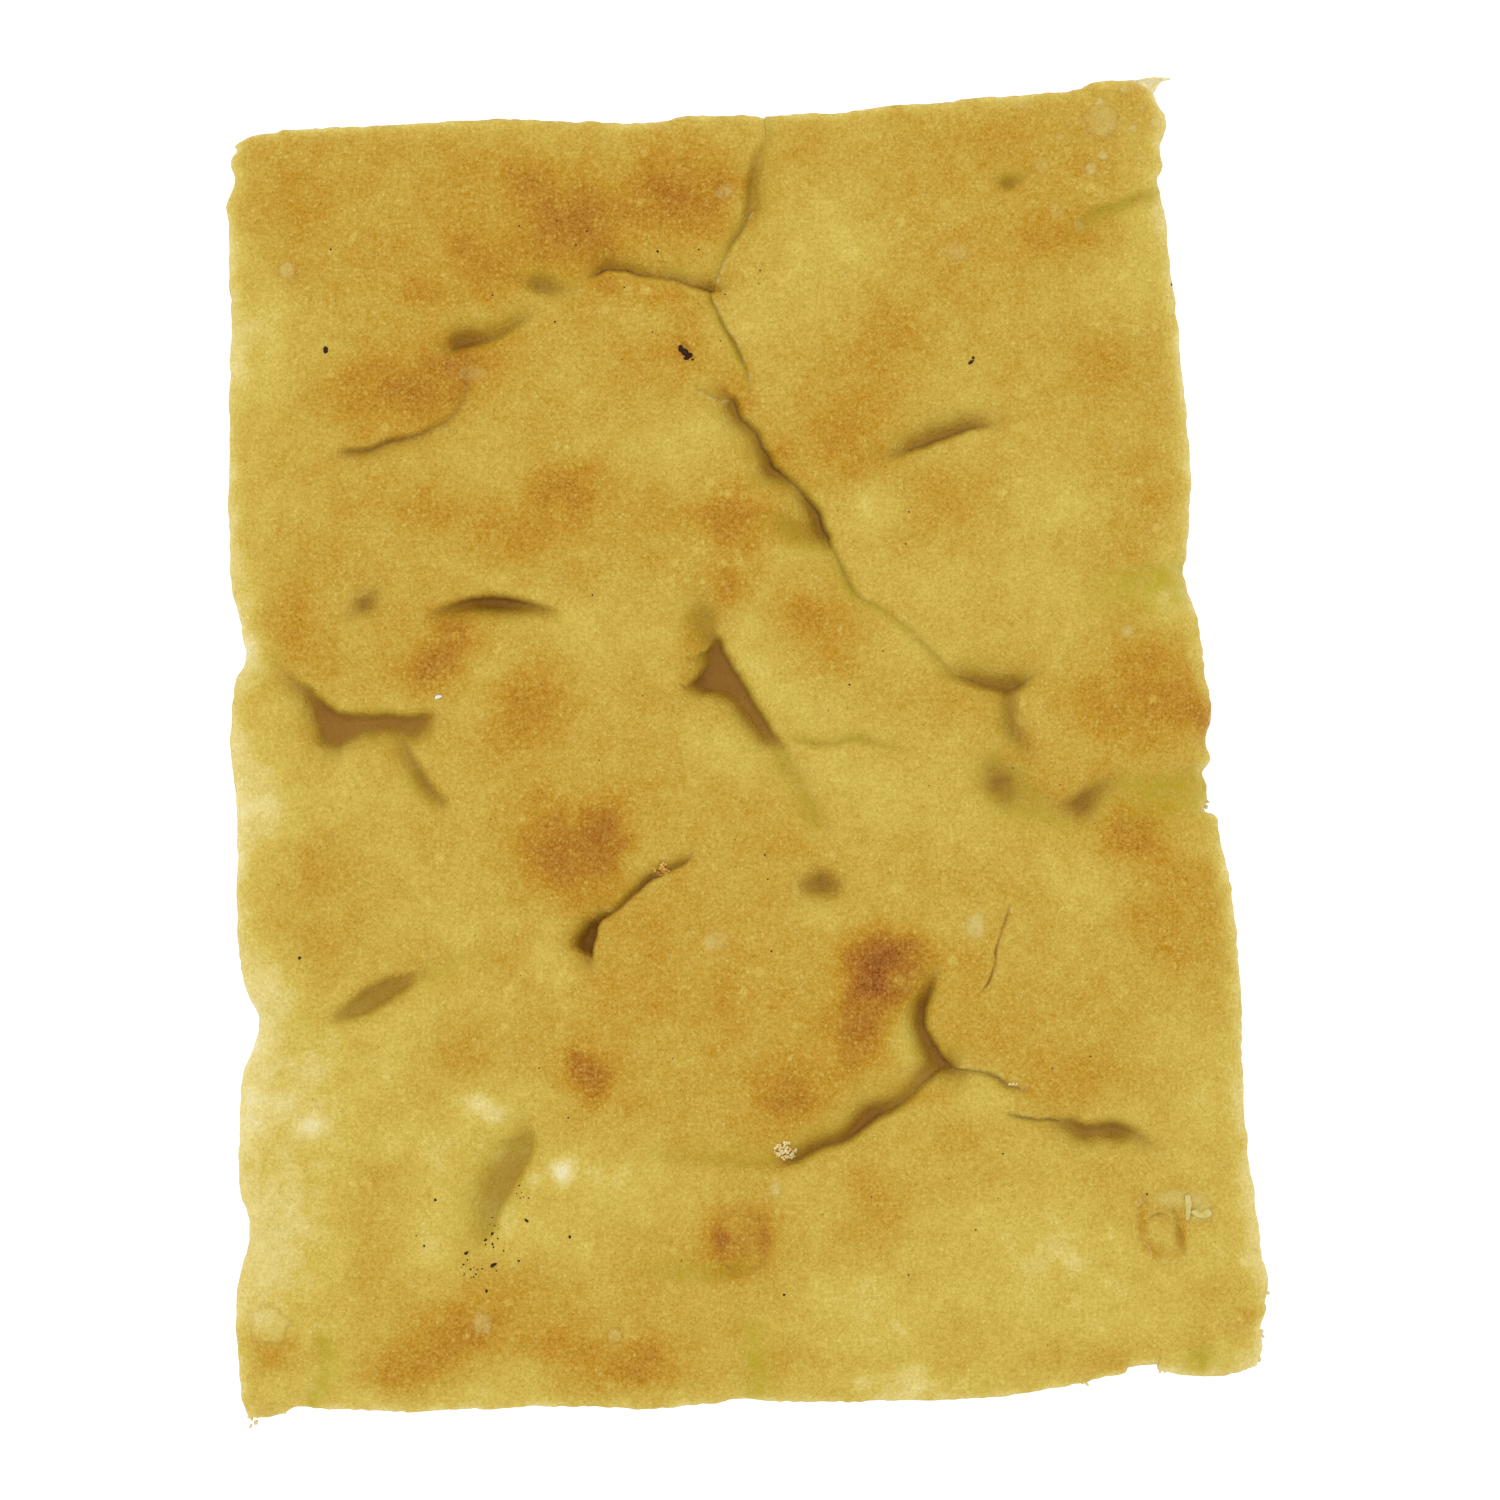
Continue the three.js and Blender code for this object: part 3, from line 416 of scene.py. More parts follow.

# Some paler patches, on lips beside the folds and along the left edge with its notch, are partly paler
# crust and partly painted highlight.
PATCHES: tuple[Patch, ...] = tuple(Patch(*row) for row in (
    (480, 210, 270, 95, 0.50, 0.9), (380, 160, 120, 30, 0.55, 0.6), (575, 228, 42, 45, 0.92, 0.9),
    (520, 178, 30, 26, 0.78), (495, 255, 45, 30, 0.78, 0.8, 20), (668, 188, 62, 42, 0.82, 0.9, 10),
    (700, 215, 40, 30, 0.78), (310, 200, 42, 36, 0.62), (400, 270, 40, 30, 0.62, 0.5),
    (425, 375, 85, 42, 0.80, 0.95, 15), (350, 395, 40, 30, 0.72), (572, 488, 38, 28, 0.84, 0.9),
    (545, 535, 60, 28, 0.68), (455, 520, 60, 36, 0.62), (395, 505, 40, 20, 0.58, 0.6),
    (640, 515, 90, 30, 0.62, 0.7), (735, 515, 36, 40, 0.82, 0.9), (730, 580, 26, 24, 0.72, 0.7),
    (455, 640, 26, 34, 0.98, 0.95, -20), (425, 665, 40, 22, 0.80, 0.8, 15), (300, 620, 40, 60, 0.64),
    (540, 698, 46, 36, 0.84, 0.9, 20), (520, 740, 40, 30, 0.62, 0.6),
    (575, 855, 68, 52, 0.90, 0.95, 10), (610, 840, 30, 28, 1.0, 0.7), (315, 870, 38, 34, 0.66),
    (262, 915, 26, 50, 0.56, 0.7), (320, 942, 36, 18, 0.60, 0.6), (700, 1000, 120, 80, 0.58, 0.7),
    (680, 920, 90, 60, 0.54, 0.6), (625, 745, 80, 40, 0.50, 0.6), (640, 345, 95, 55, 0.50, 0.6),
    (782, 445, 24, 44, 0.52, 0.6, 30), (840, 430, 40, 44, 0.66, 0.8),
    (882, 995, 54, 64, 0.62, 0.6, 15), (884, 972, 36, 38, 1.08, 0.95, 10),
    (876, 983, 18, 17, 1.20, 0.8), (893, 952, 18, 14, 1.10, 0.5), (900, 981, 14, 10, 0.66, 0.75),
    (858, 1030, 30, 30, 0.94, 0.9, 20), (590, 1072, 26, 34, 0.98, 0.9, 30),
    (790, 1095, 60, 40, 0.76, 0.85), (1060, 950, 50, 70, 0.50, 0.6), (740, 1240, 40, 38, 0.76, 0.9),
    (723, 1235, 7, 10, 1.12, 0.9), (766, 1232, 8, 26, 0.84, 0.7), (736, 1267, 22, 7, 0.94, 0.7),
    (686, 357, 12, 10, 0.95, 0.8), (455, 1335, 80, 34, 0.72, 0.85, 12),
    (405, 1372, 56, 24, 0.72, 0.85), (375, 1180, 34, 90, 0.52, 0.7), (380, 1260, 34, 60, 0.58, 0.7),
    (520, 1282, 52, 30, 0.66, 0.8, 10), (570, 1350, 40, 30, 0.72), (640, 1372, 62, 34, 0.76, 0.85),
    (620, 1300, 80, 30, 0.50, 0.6), (283, 1355, 34, 17, 0.82, 0.85, 12),
    (240, 1330, 10, 40, 0.56, 0.7), (255, 1400, 20, 20, 0.62, 0.6), (460, 1052, 34, 32, 0.64),
    (812, 622, 56, 48, 0.66, 0.85, -20), (860, 425, 64, 40, 0.68, 0.6, 10),
    (885, 335, 50, 60, 0.66, 0.85), (1150, 690, 78, 62, 0.70, 0.9, 20), (1196, 718, 22, 28, 0.98, 0.9),
    (1118, 832, 46, 34, 0.86, 0.9), (1185, 855, 55, 44, 0.68), (1175, 930, 50, 60, 0.62, 0.7),
    (1215, 890, 24, 60, 0.64, 0.7), (990, 1025, 60, 40, 0.58, 0.7), (1075, 1075, 60, 30, 0.60, 0.7),
    (878, 1212, 44, 44, 0.64, 0.85), (965, 1130, 34, 30, 0.66), (1060, 235, 60, 36, 0.68, 0.8, 20),
    (950, 250, 50, 40, 0.56, 0.7), (1040, 150, 130, 50, 0.54), (850, 160, 90, 40, 0.54, 0.7),
    (1100, 370, 50, 36, 0.58), (950, 500, 60, 44, 0.54), (1130, 480, 70, 50, 0.58),
    (1254, 1314, 20, 20, 0.90, 0.9), (1200, 1285, 60, 20, 0.56, 0.7), (1075, 1345, 60, 26, 0.56),
    (785, 1360, 34, 18, 0.62), (1140, 1235, 26, 30, 0.66, 0.5), (820, 240, 70, 80, 0.22, 0.85),
    (705, 440, 50, 42, 0.18, 0.75, -30), (872, 505, 26, 28, 0.20, 0.7), (797, 545, 32, 18, 0.24, 0.6),
    (762, 672, 50, 20, 0.08, 0.8, -57), (725, 745, 46, 26, 0.16, 0.65, -20),
    (815, 918, 34, 18, 0.16, 0.7), (985, 1100, 36, 18, 0.14, 0.7, -15), (552, 955, 18, 38, 0.18, 0.7),
    (650, 850, 26, 22, 0.24, 0.6), (570, 1001, 7, 7, 0.10, 0.7), (748, 320, 25, 40, 0.22, 0.7),
    (960, 620, 90, 60, 0.30, 0.85), (1050, 520, 56, 50, 0.22), (1060, 610, 40, 40, 0.28, 0.6),
    (880, 770, 100, 60, 0.28, 0.85), (600, 640, 100, 44, 0.30), (640, 700, 60, 40, 0.34, 0.6),
    (760, 690, 40, 50, 0.24, 0.7), (320, 790, 90, 60, 0.30), (440, 890, 90, 60, 0.34, 0.7),
    (300, 1090, 70, 110, 0.14, 0.9), (450, 1150, 90, 70, 0.20), (620, 1180, 110, 34, 0.20, 0.85),
    (430, 1240, 60, 60, 0.22, 0.7), (560, 1230, 60, 50, 0.26, 0.7), (1020, 1240, 130, 60, 0.18, 0.85),
    (960, 1100, 60, 30, 0.22, 0.6), (1205, 1110, 60, 120, 0.24), (1080, 900, 50, 60, 0.28, 0.7),
    (1060, 840, 36, 50, 0.24, 0.7), (907, 1040, 16, 36, 0.26, 0.8), (500, 1385, 60, 24, 0.22, 0.7),
    (900, 1370, 130, 40, 0.30, 0.7), (1210, 1370, 50, 20, 0.18), (270, 1260, 60, 70, 0.14, 0.85),
    (265, 340, 26, 90, 0.16), (1150, 240, 40, 70, 0.20), (1165, 590, 30, 30, 0.16),
    (560, 130, 40, 12, 0.36, 0.6), (640, 140, 30, 24, 0.30, 0.6), (945, 405, 56, 30, 0.26, 0.7),
    (800, 1290, 120, 40, 0.28, 0.6), (1120, 1300, 110, 54, 0.16, 0.75), (930, 1160, 60, 25, 0.26, 0.7),
    (450, 1010, 60, 40, 0.32, 0.5), (238, 610, 34, 76, 0.08, 0.8), (250, 660, 34, 24, 0.00, 0.8),
    (246, 652, 13, 12, -0.16, 0.8), (240, 810, 42, 95, -0.02, 0.85), (240, 920, 24, 40, 0.22, 0.7),
    (252, 1000, 46, 50, -0.02, 0.75), (250, 1080, 40, 110, -0.06, 0.8),
    (270, 1225, 50, 50, -0.02, 0.75), (336, 1215, 26, 34, 0.12, 0.6), (250, 1395, 40, 20, 0.28, 0.6),
    (316, 1375, 40, 34, 0.18, 0.75), (1255, 1235, 26, 74, 0.06, 0.75), (1245, 1360, 30, 20, 0.08, 0.7),
    (1186, 845, 30, 22, 0.30, 0.7), (894, 1380, 66, 20, 0.02, 0.75), (655, 1392, 50, 12, 0.26, 0.75),
    (1041, 1368, 40, 16, 0.18, 0.7), (873, 1315, 60, 34, 0.10, 0.7), (387, 1035, 32, 22, 0.12, 0.65),
    (684, 300, 28, 15, 0.68, 0.75), (1140, 176, 26, 16, 0.22, 0.6), (795, 528, 22, 14, 0.72, 0.6, -40),
    (738, 388, 20, 18, 0.68, 0.6), (655, 360, 44, 22, 0.60, 0.6), (645, 566, 34, 18, 0.60, 0.6),
    (951, 280, 34, 24, 0.62, 0.6), (900, 200, 34, 24, 0.54, 0.6), (888, 1052, 14, 16, 0.56, 0.7),
    (490, 1112, 24, 13, -0.12, 0.75, -20), (563, 1171, 13, 14, -0.15, 0.85),
    (536, 1180, 10, 14, -0.02, 0.7), (315, 1125, 18, 10, -0.08, 0.6),
    (500, 1215, 16, 30, 0.04, 0.6, 30), (270, 852, 24, 26, 0.08, 0.6), (477, 1392, 28, 12, 0.06, 0.6),
    (582, 1326, 18, 14, 0.40, 0.6), (1185, 702, 16, 16, 0.60, 0.6), (951, 702, 34, 22, 0.62, 0.6),
    (426, 300, 30, 20, 0.72, 0.6), (1056, 780, 24, 24, 0.64, 0.6), (1022, 756, 16, 20, 0.70, 0.6),
    (405, 1014, 30, 18, 0.16, 0.6), (660, 1098, 40, 26, 0.60, 0.55), (537, 1101, 36, 16, 0.12, 0.6),
    (315, 291, 30, 26, 0.60, 0.6), (264, 1314, 22, 18, -0.02, 0.6), (267, 597, 18, 26, 0.22, 0.6),
    (690, 1222, 14, 22, 0.34, 0.6), (822, 1020, 18, 20, 0.76, 0.6), (381, 1071, 26, 20, 0.10, 0.6),
    (960, 960, 26, 24, 0.64, 0.6), (690, 636, 15, 20, 0.74, 0.6), (366, 159, 30, 20, 0.60, 0.6),
    (273, 1389, 22, 14, 0.12, 0.6), (1140, 1218, 6, 24, 0.72, 0.6),
    (1150, 1246, 14, 7, 0.62, 0.6, -35), (1178, 1234, 5, 18, 0.74, 0.7, -8),
    (238, 370, 16, 40, -0.10, 0.6), (316, 1323, 18, 18, 0.06, 0.5), (1188, 812, 20, 18, 0.16, 0.6),
    (363, 1395, 24, 12, 0.04, 0.6), (774, 843, 24, 18, 0.62, 0.6), (858, 165, 30, 22, 0.64, 0.5),
    (930, 1095, 26, 14, 0.64, 0.6), (1186, 738, 14, 16, 0.40, 0.6), (306, 704, 14, 12, 0.30, 0.6),
    (984, 309, 20, 16, 0.62, 0.6), (654, 168, 18, 14, 0.62, 0.6), (798, 258, 26, 26, 0.42, 0.6),
    (645, 1212, 20, 14, 0.14, 0.6), (732, 455, 16, 18, 0.60, 0.5), (642, 696, 26, 18, 0.62, 0.6),
    (576, 417, 26, 16, 0.62, 0.5), (747, 408, 14, 12, 0.84, 0.5), (780, 453, 12, 14, 0.84, 0.5),
    (777, 1166, 18, 10, 0.72, 0.6), (906, 213, 20, 20, 0.66, 0.5), (600, 1293, 18, 16, 0.22, 0.6),
    (480, 708, 22, 18, 0.26, 0.6), (612, 287, 14, 10, 0.80, 0.5),
))

BUBBLES: tuple[Bubble, ...] = tuple(Bubble(*row) for row in (
    (1100, 125, 2.3, 2.3, 0.35, 0.5, 0.30), (1154, 124, 0.8, 0.8, 0.20, 0.8, 0.30),
    (1101, 159, 0.7, 0.7, 0.18, 0.8, 0.30), (1089, 172, 0.9, 0.9, 0.20, 0.8, 0.30),
    (1098, 105, 0.7, 0.7, 0.16, 0.7, 0.25), (1123, 92, 0.8, 0.6, 0.16, 0.7, 0.25),
    (1132, 131, 0.6, 0.6, 0.15, 0.7, 0.25), (1141, 111, 0.6, 0.6, 0.15, 0.6, 0.30),
    (1077, 228, 0.8, 0.8, 0.18, 0.6, 0.25), (1054, 213, 1.1, 1.1, 0.16, 0.25, 0.15),
    (1021, 105, 1.2, 1.2, 0.16, 0.25, 0.15), (1139, 161, 0.4, 0.4, 0.12, 0.5, 0.15),
    (1153, 160, 0.4, 0.4, 0.12, 0.5, 0.15), (1107, 141, 0.5, 0.5, 0.12, 0.5, 0.20),
    (1059, 141, 0.5, 0.5, 0.12, 0.4, 0.15), (1067, 124, 0.5, 0.5, 0.10, 0.2, 0.30),
    (290, 272, 1.2, 1.2, 0.30, 0.6, 0.3), (975, 925, 1.3, 2.1, 0.30, 0.8, 0.0),
    (715, 940, 1.8, 1.4, 0.25, 0.5), (485, 1320, 1.5, 1.5, 0.30, 0.6, 0.2),
    (615, 1333, 1.0, 1.0, 0.25, 0.4, 0.5), (1125, 632, 0.9, 0.9, 0.25, 0.7),
    (725, 195, 1.2, 1.0, 0.25, 0.6), (475, 375, 2.2, 0.9, 0.20, 0.3),
    (742, 1238, 3.6, 4.4, 0.55, 0.05, 0.40), (752, 1218, 0.9, 0.8, 0.20, 0.10, 0.40),
    (750, 1240, 0.7, 0.9, 0.20, 0.10, 0.40), (738, 1252, 0.8, 0.7, 0.20, 0.10, 0.40),
    (1160, 1228, 2.9, 3.3, -0.25, 0.1, 0.15), (1172, 1197, 3.4, 1.3, 0.40, 0.45, 0.1),
    (1195, 1204, 1.9, 1.8, 0.25, 0.60, 0.0), (1212, 1212, 0.7, 1.0, -0.15, 0.0, 0.4),
    (271, 1322, 2.5, 2.6, 0.60, 0.30, 0.30), (899, 978, 1.1, 1.0, 0.35, 0.15, 0.5),
    (912, 972, 0.6, 0.6, 0.25, 0.15, 0.5), (888, 985, 0.5, 0.5, 0.20, 0.15, 0.5),
    (905, 989, 0.5, 0.5, 0.20, 0.15, 0.5), (775, 1187, 0.9, 0.9, 0.15, 0.8),
    (955, 255, 1.8, 1.4, 0.25, 0.4), (1040, 168, 1.2, 1.2, 0.25, 0.3),
))

# Each broad swell of the dough: its middle, its half sizes and its height, in millimetres.
PILLOWS: tuple[tuple[float, float, float, float, float], ...] = (
    (-40, 71, 26, 10, 1.0), (-21, 48, 16, 13, 1.9), (-55, 30, 13, 10, 1.2), (-13, 29, 16, 10, 1.5),
    (24, 60, 20, 13, 1.7), (38, 31, 15, 10, 1.4), (11, 11, 12, 9, 1.9), (-22, -8, 15, 13, 2.1),
    (-55, -16, 11, 12, 1.4), (52, 10, 8, 8, 1.1), (0, -37, 20, 13, 2.6), (45, -26, 15, 14, 1.7),
    (-52, -52, 12, 11, 0.9), (-14, -70, 17, 9, 1.3), (28, -68, 20, 11, 1.5), (-48, -78, 15, 7, 1.1),
)

LEFT_EDGE: Places = (
    (250, 1421), (246, 1411), (240, 1392), (238, 1340), (237, 1300), (240, 1275), (248, 1245),
    (249.5, 1228), (246, 1208), (240, 1186), (240, 1120), (243, 1080), (251, 1056), (257, 1035),
    (258, 1015), (251, 1001), (243, 980), (239, 950), (236.5, 900), (238, 810), (231, 760),
    (232, 715), (236, 682), (244, 666), (245, 650), (239, 615), (232, 585), (229, 530),
    (230, 430), (228, 403), (231, 350), (229, 240), (228, 206), (236, 183), (231, 162), (236, 151),
    (234, 146), (238, 141),
)
RIGHT_EDGE: Places = (
    (1258, 1366), (1262, 1350), (1262, 1340), (1260, 1328), (1266, 1309), (1264.5, 1301),
    (1269, 1286), (1266, 1273), (1261, 1255), (1253, 1195), (1246, 1140), (1241, 1060),
    (1242, 1005), (1234, 910), (1219, 832), (1220, 822), (1214, 814), (1205, 811), (1208, 800),
    (1205, 780), (1203, 772), (1211, 760), (1206, 748), (1206, 738), (1209, 727), (1211, 713),
    (1206, 680), (1196, 615), (1187, 587), (1182, 568), (1186, 557), (1189, 520), (1190, 470),
    (1181, 360), (1170, 260), (1161, 197), (1157, 182), (1161, 167), (1160, 148), (1167, 122),
    (1160, 106), (1154, 93),
)
TOP_EDGE: Places = (
    (238, 141), (254, 136), (275, 135), (300, 130), (415, 126), (500, 122), (645, 124),
    (690, 118.5), (757, 118), (767, 120), (769, 116.5), (840, 114), (880, 109), (990, 99),
    (1072, 92), (1084, 87.5), (1102, 83), (1125, 82), (1142, 86), (1154, 93),
)
BOTTOM_EDGE: Places = (
    (250, 1421), (256, 1418), (280, 1414), (300, 1406), (330, 1407.5), (379, 1409),
    (440, 1409), (530, 1405.5), (600, 1404.5), (640, 1407), (715, 1402), (729, 1398),
    (745, 1396.5), (772, 1400), (850, 1400), (990, 1396), (1062, 1385.5), (1121, 1372),
    (1128, 1365), (1157, 1364), (1160, 1371), (1215, 1375), (1258, 1366),
)
TORN_FLAKE: Places = (
    (1082, 91), (1090, 84), (1112, 80), (1140, 77.5), (1158, 75), (1172, 77.5), (1161, 81), (1158, 86),
    (1154, 92), (1146, 94), (1120, 95),
)
BLISTER_SKINS: tuple[Places, ...] = (
    ((1182, 1192), (1186, 1190), (1189, 1199), (1188, 1208), (1187, 1217), (1184, 1219), (1183, 1206)),
    ((1187, 1209), (1194, 1206), (1199, 1210), (1205, 1206), (1210, 1210), (1208, 1215), (1199, 1216),
     (1193, 1214)),
)


# ---- The slab's form ----


class Edge:
    """One edge of the outline as a function of the share of the way along it.

    The gentle edge steers the whole slab, and the nicks of the true one reach only a little way in.
    """

    smoothing = 9.0

    def __init__(self, places: Places, outward: tuple[float, float], seed: int) -> None:
        """Draw the edge.

        Args:
            places: Its points in the photograph's pixels.
            outward: The direction away from the slab.
            seed: Which ragged pattern its cut has.
        """
        pixels = np.array(places, float)
        line = smooth_line(np.column_stack(Photo.place(pixels[:, 0], pixels[:, 1])), 8)
        distance = along_line(line)
        self.length = distance[-1]
        self.shares = np.linspace(0, 1, 4 * int(self.length))
        self.line = np.column_stack(
            [np.interp(self.shares * self.length, distance, line[:, i]) for i in (0, 1)])
        self.gentle = self._smoothed()
        self.outward = np.array(outward)
        self.seed = seed

    def _smoothed(self) -> Array:
        """Return the edge without its nicks, with its two ends where they were."""
        chord = self.line[0] + self.shares[:, None] * (self.line[-1] - self.line[0])
        stray = self.line - chord
        mirrored = np.vstack([-stray[::-1], stray[1:-1], -stray[::-1]])
        wide = self.smoothing / self.length * len(self.shares)
        steps = np.arange(-int(3 * wide), int(3 * wide) + 1)
        weights = bell(steps, wide)
        weights /= weights.sum()
        smooth = [np.convolve(mirrored[:, i], weights, "same") for i in (0, 1)]
        first = len(stray) - 1
        return chord + np.column_stack(smooth)[first:first + len(stray)]

    def at(self, share: Array) -> Array:
        """Return the points of the gentle edge at shares of the way along, one row each."""
        return np.column_stack([np.interp(share, self.shares, self.gentle[:, i]) for i in (0, 1)])

    def nicks(self, share: Array) -> Array:
        """Return how far the true edge lies from the gentle one at shares of the way along."""
        detail = self.line - self.gentle
        return np.column_stack([np.interp(share, self.shares, detail[:, i]) for i in (0, 1)])

    def ragged(self, share: Array, amount: float) -> Array:
        """Return how far the cut strays outward at shares of the way along, in millimetres."""
        target = np.asarray(share, float) * self.length
        still = np.zeros_like(target)
        return amount * blended(target, still, ((0.6, 2.6, self.seed), (0.4, 0.9, self.seed + 1)))


class FoldLine:
    """A fold's lip as a dense line, with its floor's width, its share of the depth and its soft side.

    The lip is jagged by a coarse and a fine unevenness, more so where the fold is deep.
    """

    step = 0.22
    least_jag = 0.06
    jag_by_depth = 0.03
    most_jag = 0.17
    trough_reach = 7.0

    def __init__(self, fold: Fold, seed: int) -> None:
        """Draw the lip's line.

        Args:
            fold: The fold as it was read.
            seed: Which jagged pattern its lip has.
        """
        route = np.array(fold.route, float)
        rows = np.column_stack([*Photo.place(route[:, 0], route[:, 1]), route[:, 2:]])
        line = smooth_line(rows, 12)
        distance = along_line(line)
        target = np.arange(0, distance[-1] + self.step, self.step)
        self.rows = np.column_stack([np.interp(target, distance, line[:, i]) for i in range(4)])
        self.rows[:, 2:] = np.maximum(self.rows[:, 2:], 0)
        tangent = np.gradient(self.rows[:, :2], axis=0)
        tangent /= np.maximum(np.hypot(tangent[:, 0], tangent[:, 1]), 1e-9)[:, None]
        side = np.column_stack([-tangent[:, 1], tangent[:, 0]])
        towards_lip = np.array(fold.lip.value)
        if (side @ towards_lip).sum() > 0:
            side = -side
        self.soft_side = side
        still = np.zeros_like(target)
        jag = min(self.most_jag, self.least_jag + self.jag_by_depth * fold.depth)
        self.jagged = jag * blended(target, still, ((0.7, 1.7, seed), (0.3, 0.6, seed + 50)))
        self.fold = fold

    def reach(self) -> float:
        """Return how far from the lip the fold still shapes the crust, in millimetres."""
        return self.rows[:, 2].max() + 3.0 * self.fold.soft + self.trough_reach


class Pressed:
    """What the folds do to a set of points of the crust: how they move it and how they tint it."""

    tints = ("stain", "olive", "torn", "line")

    def __init__(self, count: int) -> None:
        """Start with a flat, untinted crust of so many points."""
        self.lowered = np.zeros(count)
        self.shifted = np.zeros((count, 2))
        self.looks = {name: np.zeros(count) for name in self.tints}

    def tint(self, name: str, part: Array, share: Array) -> None:
        """Raise a tint of some points to a share."""
        self.looks[name][part] = np.maximum(self.looks[name][part], share)


class Folds:
    """All the folds and dimples of the crust, pressed in together.

    The soft bank is a sum of two bells, each with its share and its reach in softnesses of the fold.
    A broad, shallow trough lies under each fold. The torn lip and the painted shadow line under it
    are strips at a place beside the fold's line, in millimetres.
    """

    depth_share = 0.60
    bank_share = 0.16
    bank_shape = ((0.40, 0.55), (0.60, 1.3))
    bank_reach = 5.5
    blend = 3.0
    overhang_reach = 2.0
    untinted_depth = 0.15
    olive_reach = 1.1
    olive_past_lip = 2.5
    lip_place = 0.35
    lip_width = 0.28
    line_place = 0.08
    line_width = 0.17
    points_at_once = 4000

    def __init__(self, folds: Iterable[Fold]) -> None:
        """Draw every fold's line."""
        self.lines = [FoldLine(fold, 300 + index) for index, fold in enumerate(folds)]

    def press(self, x: Array, y: Array) -> Pressed:
        """Work out what the folds do at points of the crust.

        Args:
            x: Places across, in millimetres.
            y: Places along, in millimetres.

        Returns:
            How far each point is lowered and moved sideways, and how it is tinted with stained
            colour and painted shade.
        """
        pressed = Pressed(len(x))
        for line in self.lines:
            reach = line.reach()
            low, high = line.rows[:, :2].min(0) - reach, line.rows[:, :2].max(0) + reach
            near = np.flatnonzero((x > low[0]) & (x < high[0]) & (y > low[1]) & (y < high[1]))
            for part in np.array_split(near, max(1, len(near) // self.points_at_once)):
                if len(part):
                    self._press_one(line, x, y, part, pressed)
        pressed.lowered = pressed.lowered ** (1 / self.blend)
        return pressed

    def _press_one(
        self, line: FoldLine, x: Array, y: Array, part: Array, pressed: Pressed,
    ) -> None:
        """Add one fold's effect to some points.

        Args:
            line: The fold.
            x: Places across of all points.
            y: Places along of all points.
            part: Which points it may reach.
            pressed: The effects so far, where each lowering is still raised to the blend.
        """
        fold = line.fold
        offset = np.stack([x[part], y[part]], 1)[:, None, :] - line.rows[None, :, :2]
        squares = (offset ** 2).sum(2)
        nearest = squares.argmin(1)
        away = np.sqrt(squares[np.arange(len(part)), nearest])
        own = offset[np.arange(len(part)), nearest]
        soft_side = line.soft_side[nearest]
        side = np.sign((own * soft_side).sum(1))
        forward = np.column_stack([soft_side[:, 1], -soft_side[:, 0]])
        ahead = np.abs((own * forward).sum(1)) / np.maximum(away, 1e-6)
        last = (nearest == 0) | (nearest == len(line.rows) - 1)
        # Past either end of the line the lip turns into a soft bank, so that the fold ends round.
        past = np.where(last, np.clip(ahead, 0, 1) ** 2, 0.0)
        floor, share = line.rows[nearest, 2], line.rows[nearest, 3]
        signed = away * side + line.jagged[nearest]

        run = np.maximum(np.abs(signed) - floor, 0) / fold.soft
        bank = sum(share_of * bell(run, reach) for share_of, reach in self.bank_shape)
        wall = bell(np.maximum(-signed, 0), fold.steep)
        profile = np.where(signed > 0, bank, wall + (bank - wall) * past)
        broad = bell(away, self.bank_reach + 0.5 * floor)
        depth = self.depth_share * fold.depth
        lowered = depth * share * ((1 - self.bank_share) * profile + self.bank_share * broad)
        pressed.lowered[part] += np.maximum(lowered, 0) ** self.blend

        over = (signed < 0) * np.sqrt(1 - np.minimum(wall, 1)) * bell(signed, self.overhang_reach)
        over *= (1 - past) * np.minimum(share, 1)
        pressed.shifted[part] += soft_side * (fold.overhang * over)[:, None]

        # The tints: the floor's stained colour with painted shade, growing with the depth; the bank's
        # olive of oil with painted shade; the torn lip; and a painted shadow line under the lip.
        capped = np.minimum(share, 1)
        deep = np.clip((profile - self.untinted_depth) / (1 - self.untinted_depth), 0, 1) ** 1.3
        pressed.tint("stain", part, deep * capped * fold.stain)
        beside = np.where(signed > 0, np.maximum(signed - floor, 0), -self.olive_past_lip * signed)
        oil_and_shade = bell(beside, self.olive_reach * fold.soft)
        pressed.tint("olive", part, oil_and_shade * np.minimum(1.2 * share, 1) * fold.olive)
        lip = bell(signed + self.lip_place, self.lip_width)
        pressed.tint("torn", part, lip * np.minimum(1.3 * share, 1) * fold.torn)
        # A painted shadow line just under the lip.
        dark = bell(signed - self.line_place, self.line_width)
        pressed.tint("line", part, dark * capped * (1 - past) * fold.line)


@dataclass
class Crusted:
    """The top crust worked out at a set of points: places in millimetres and shares for its looks."""

    x: Array
    y: Array
    z: Array
    looks: dict[str, Array]


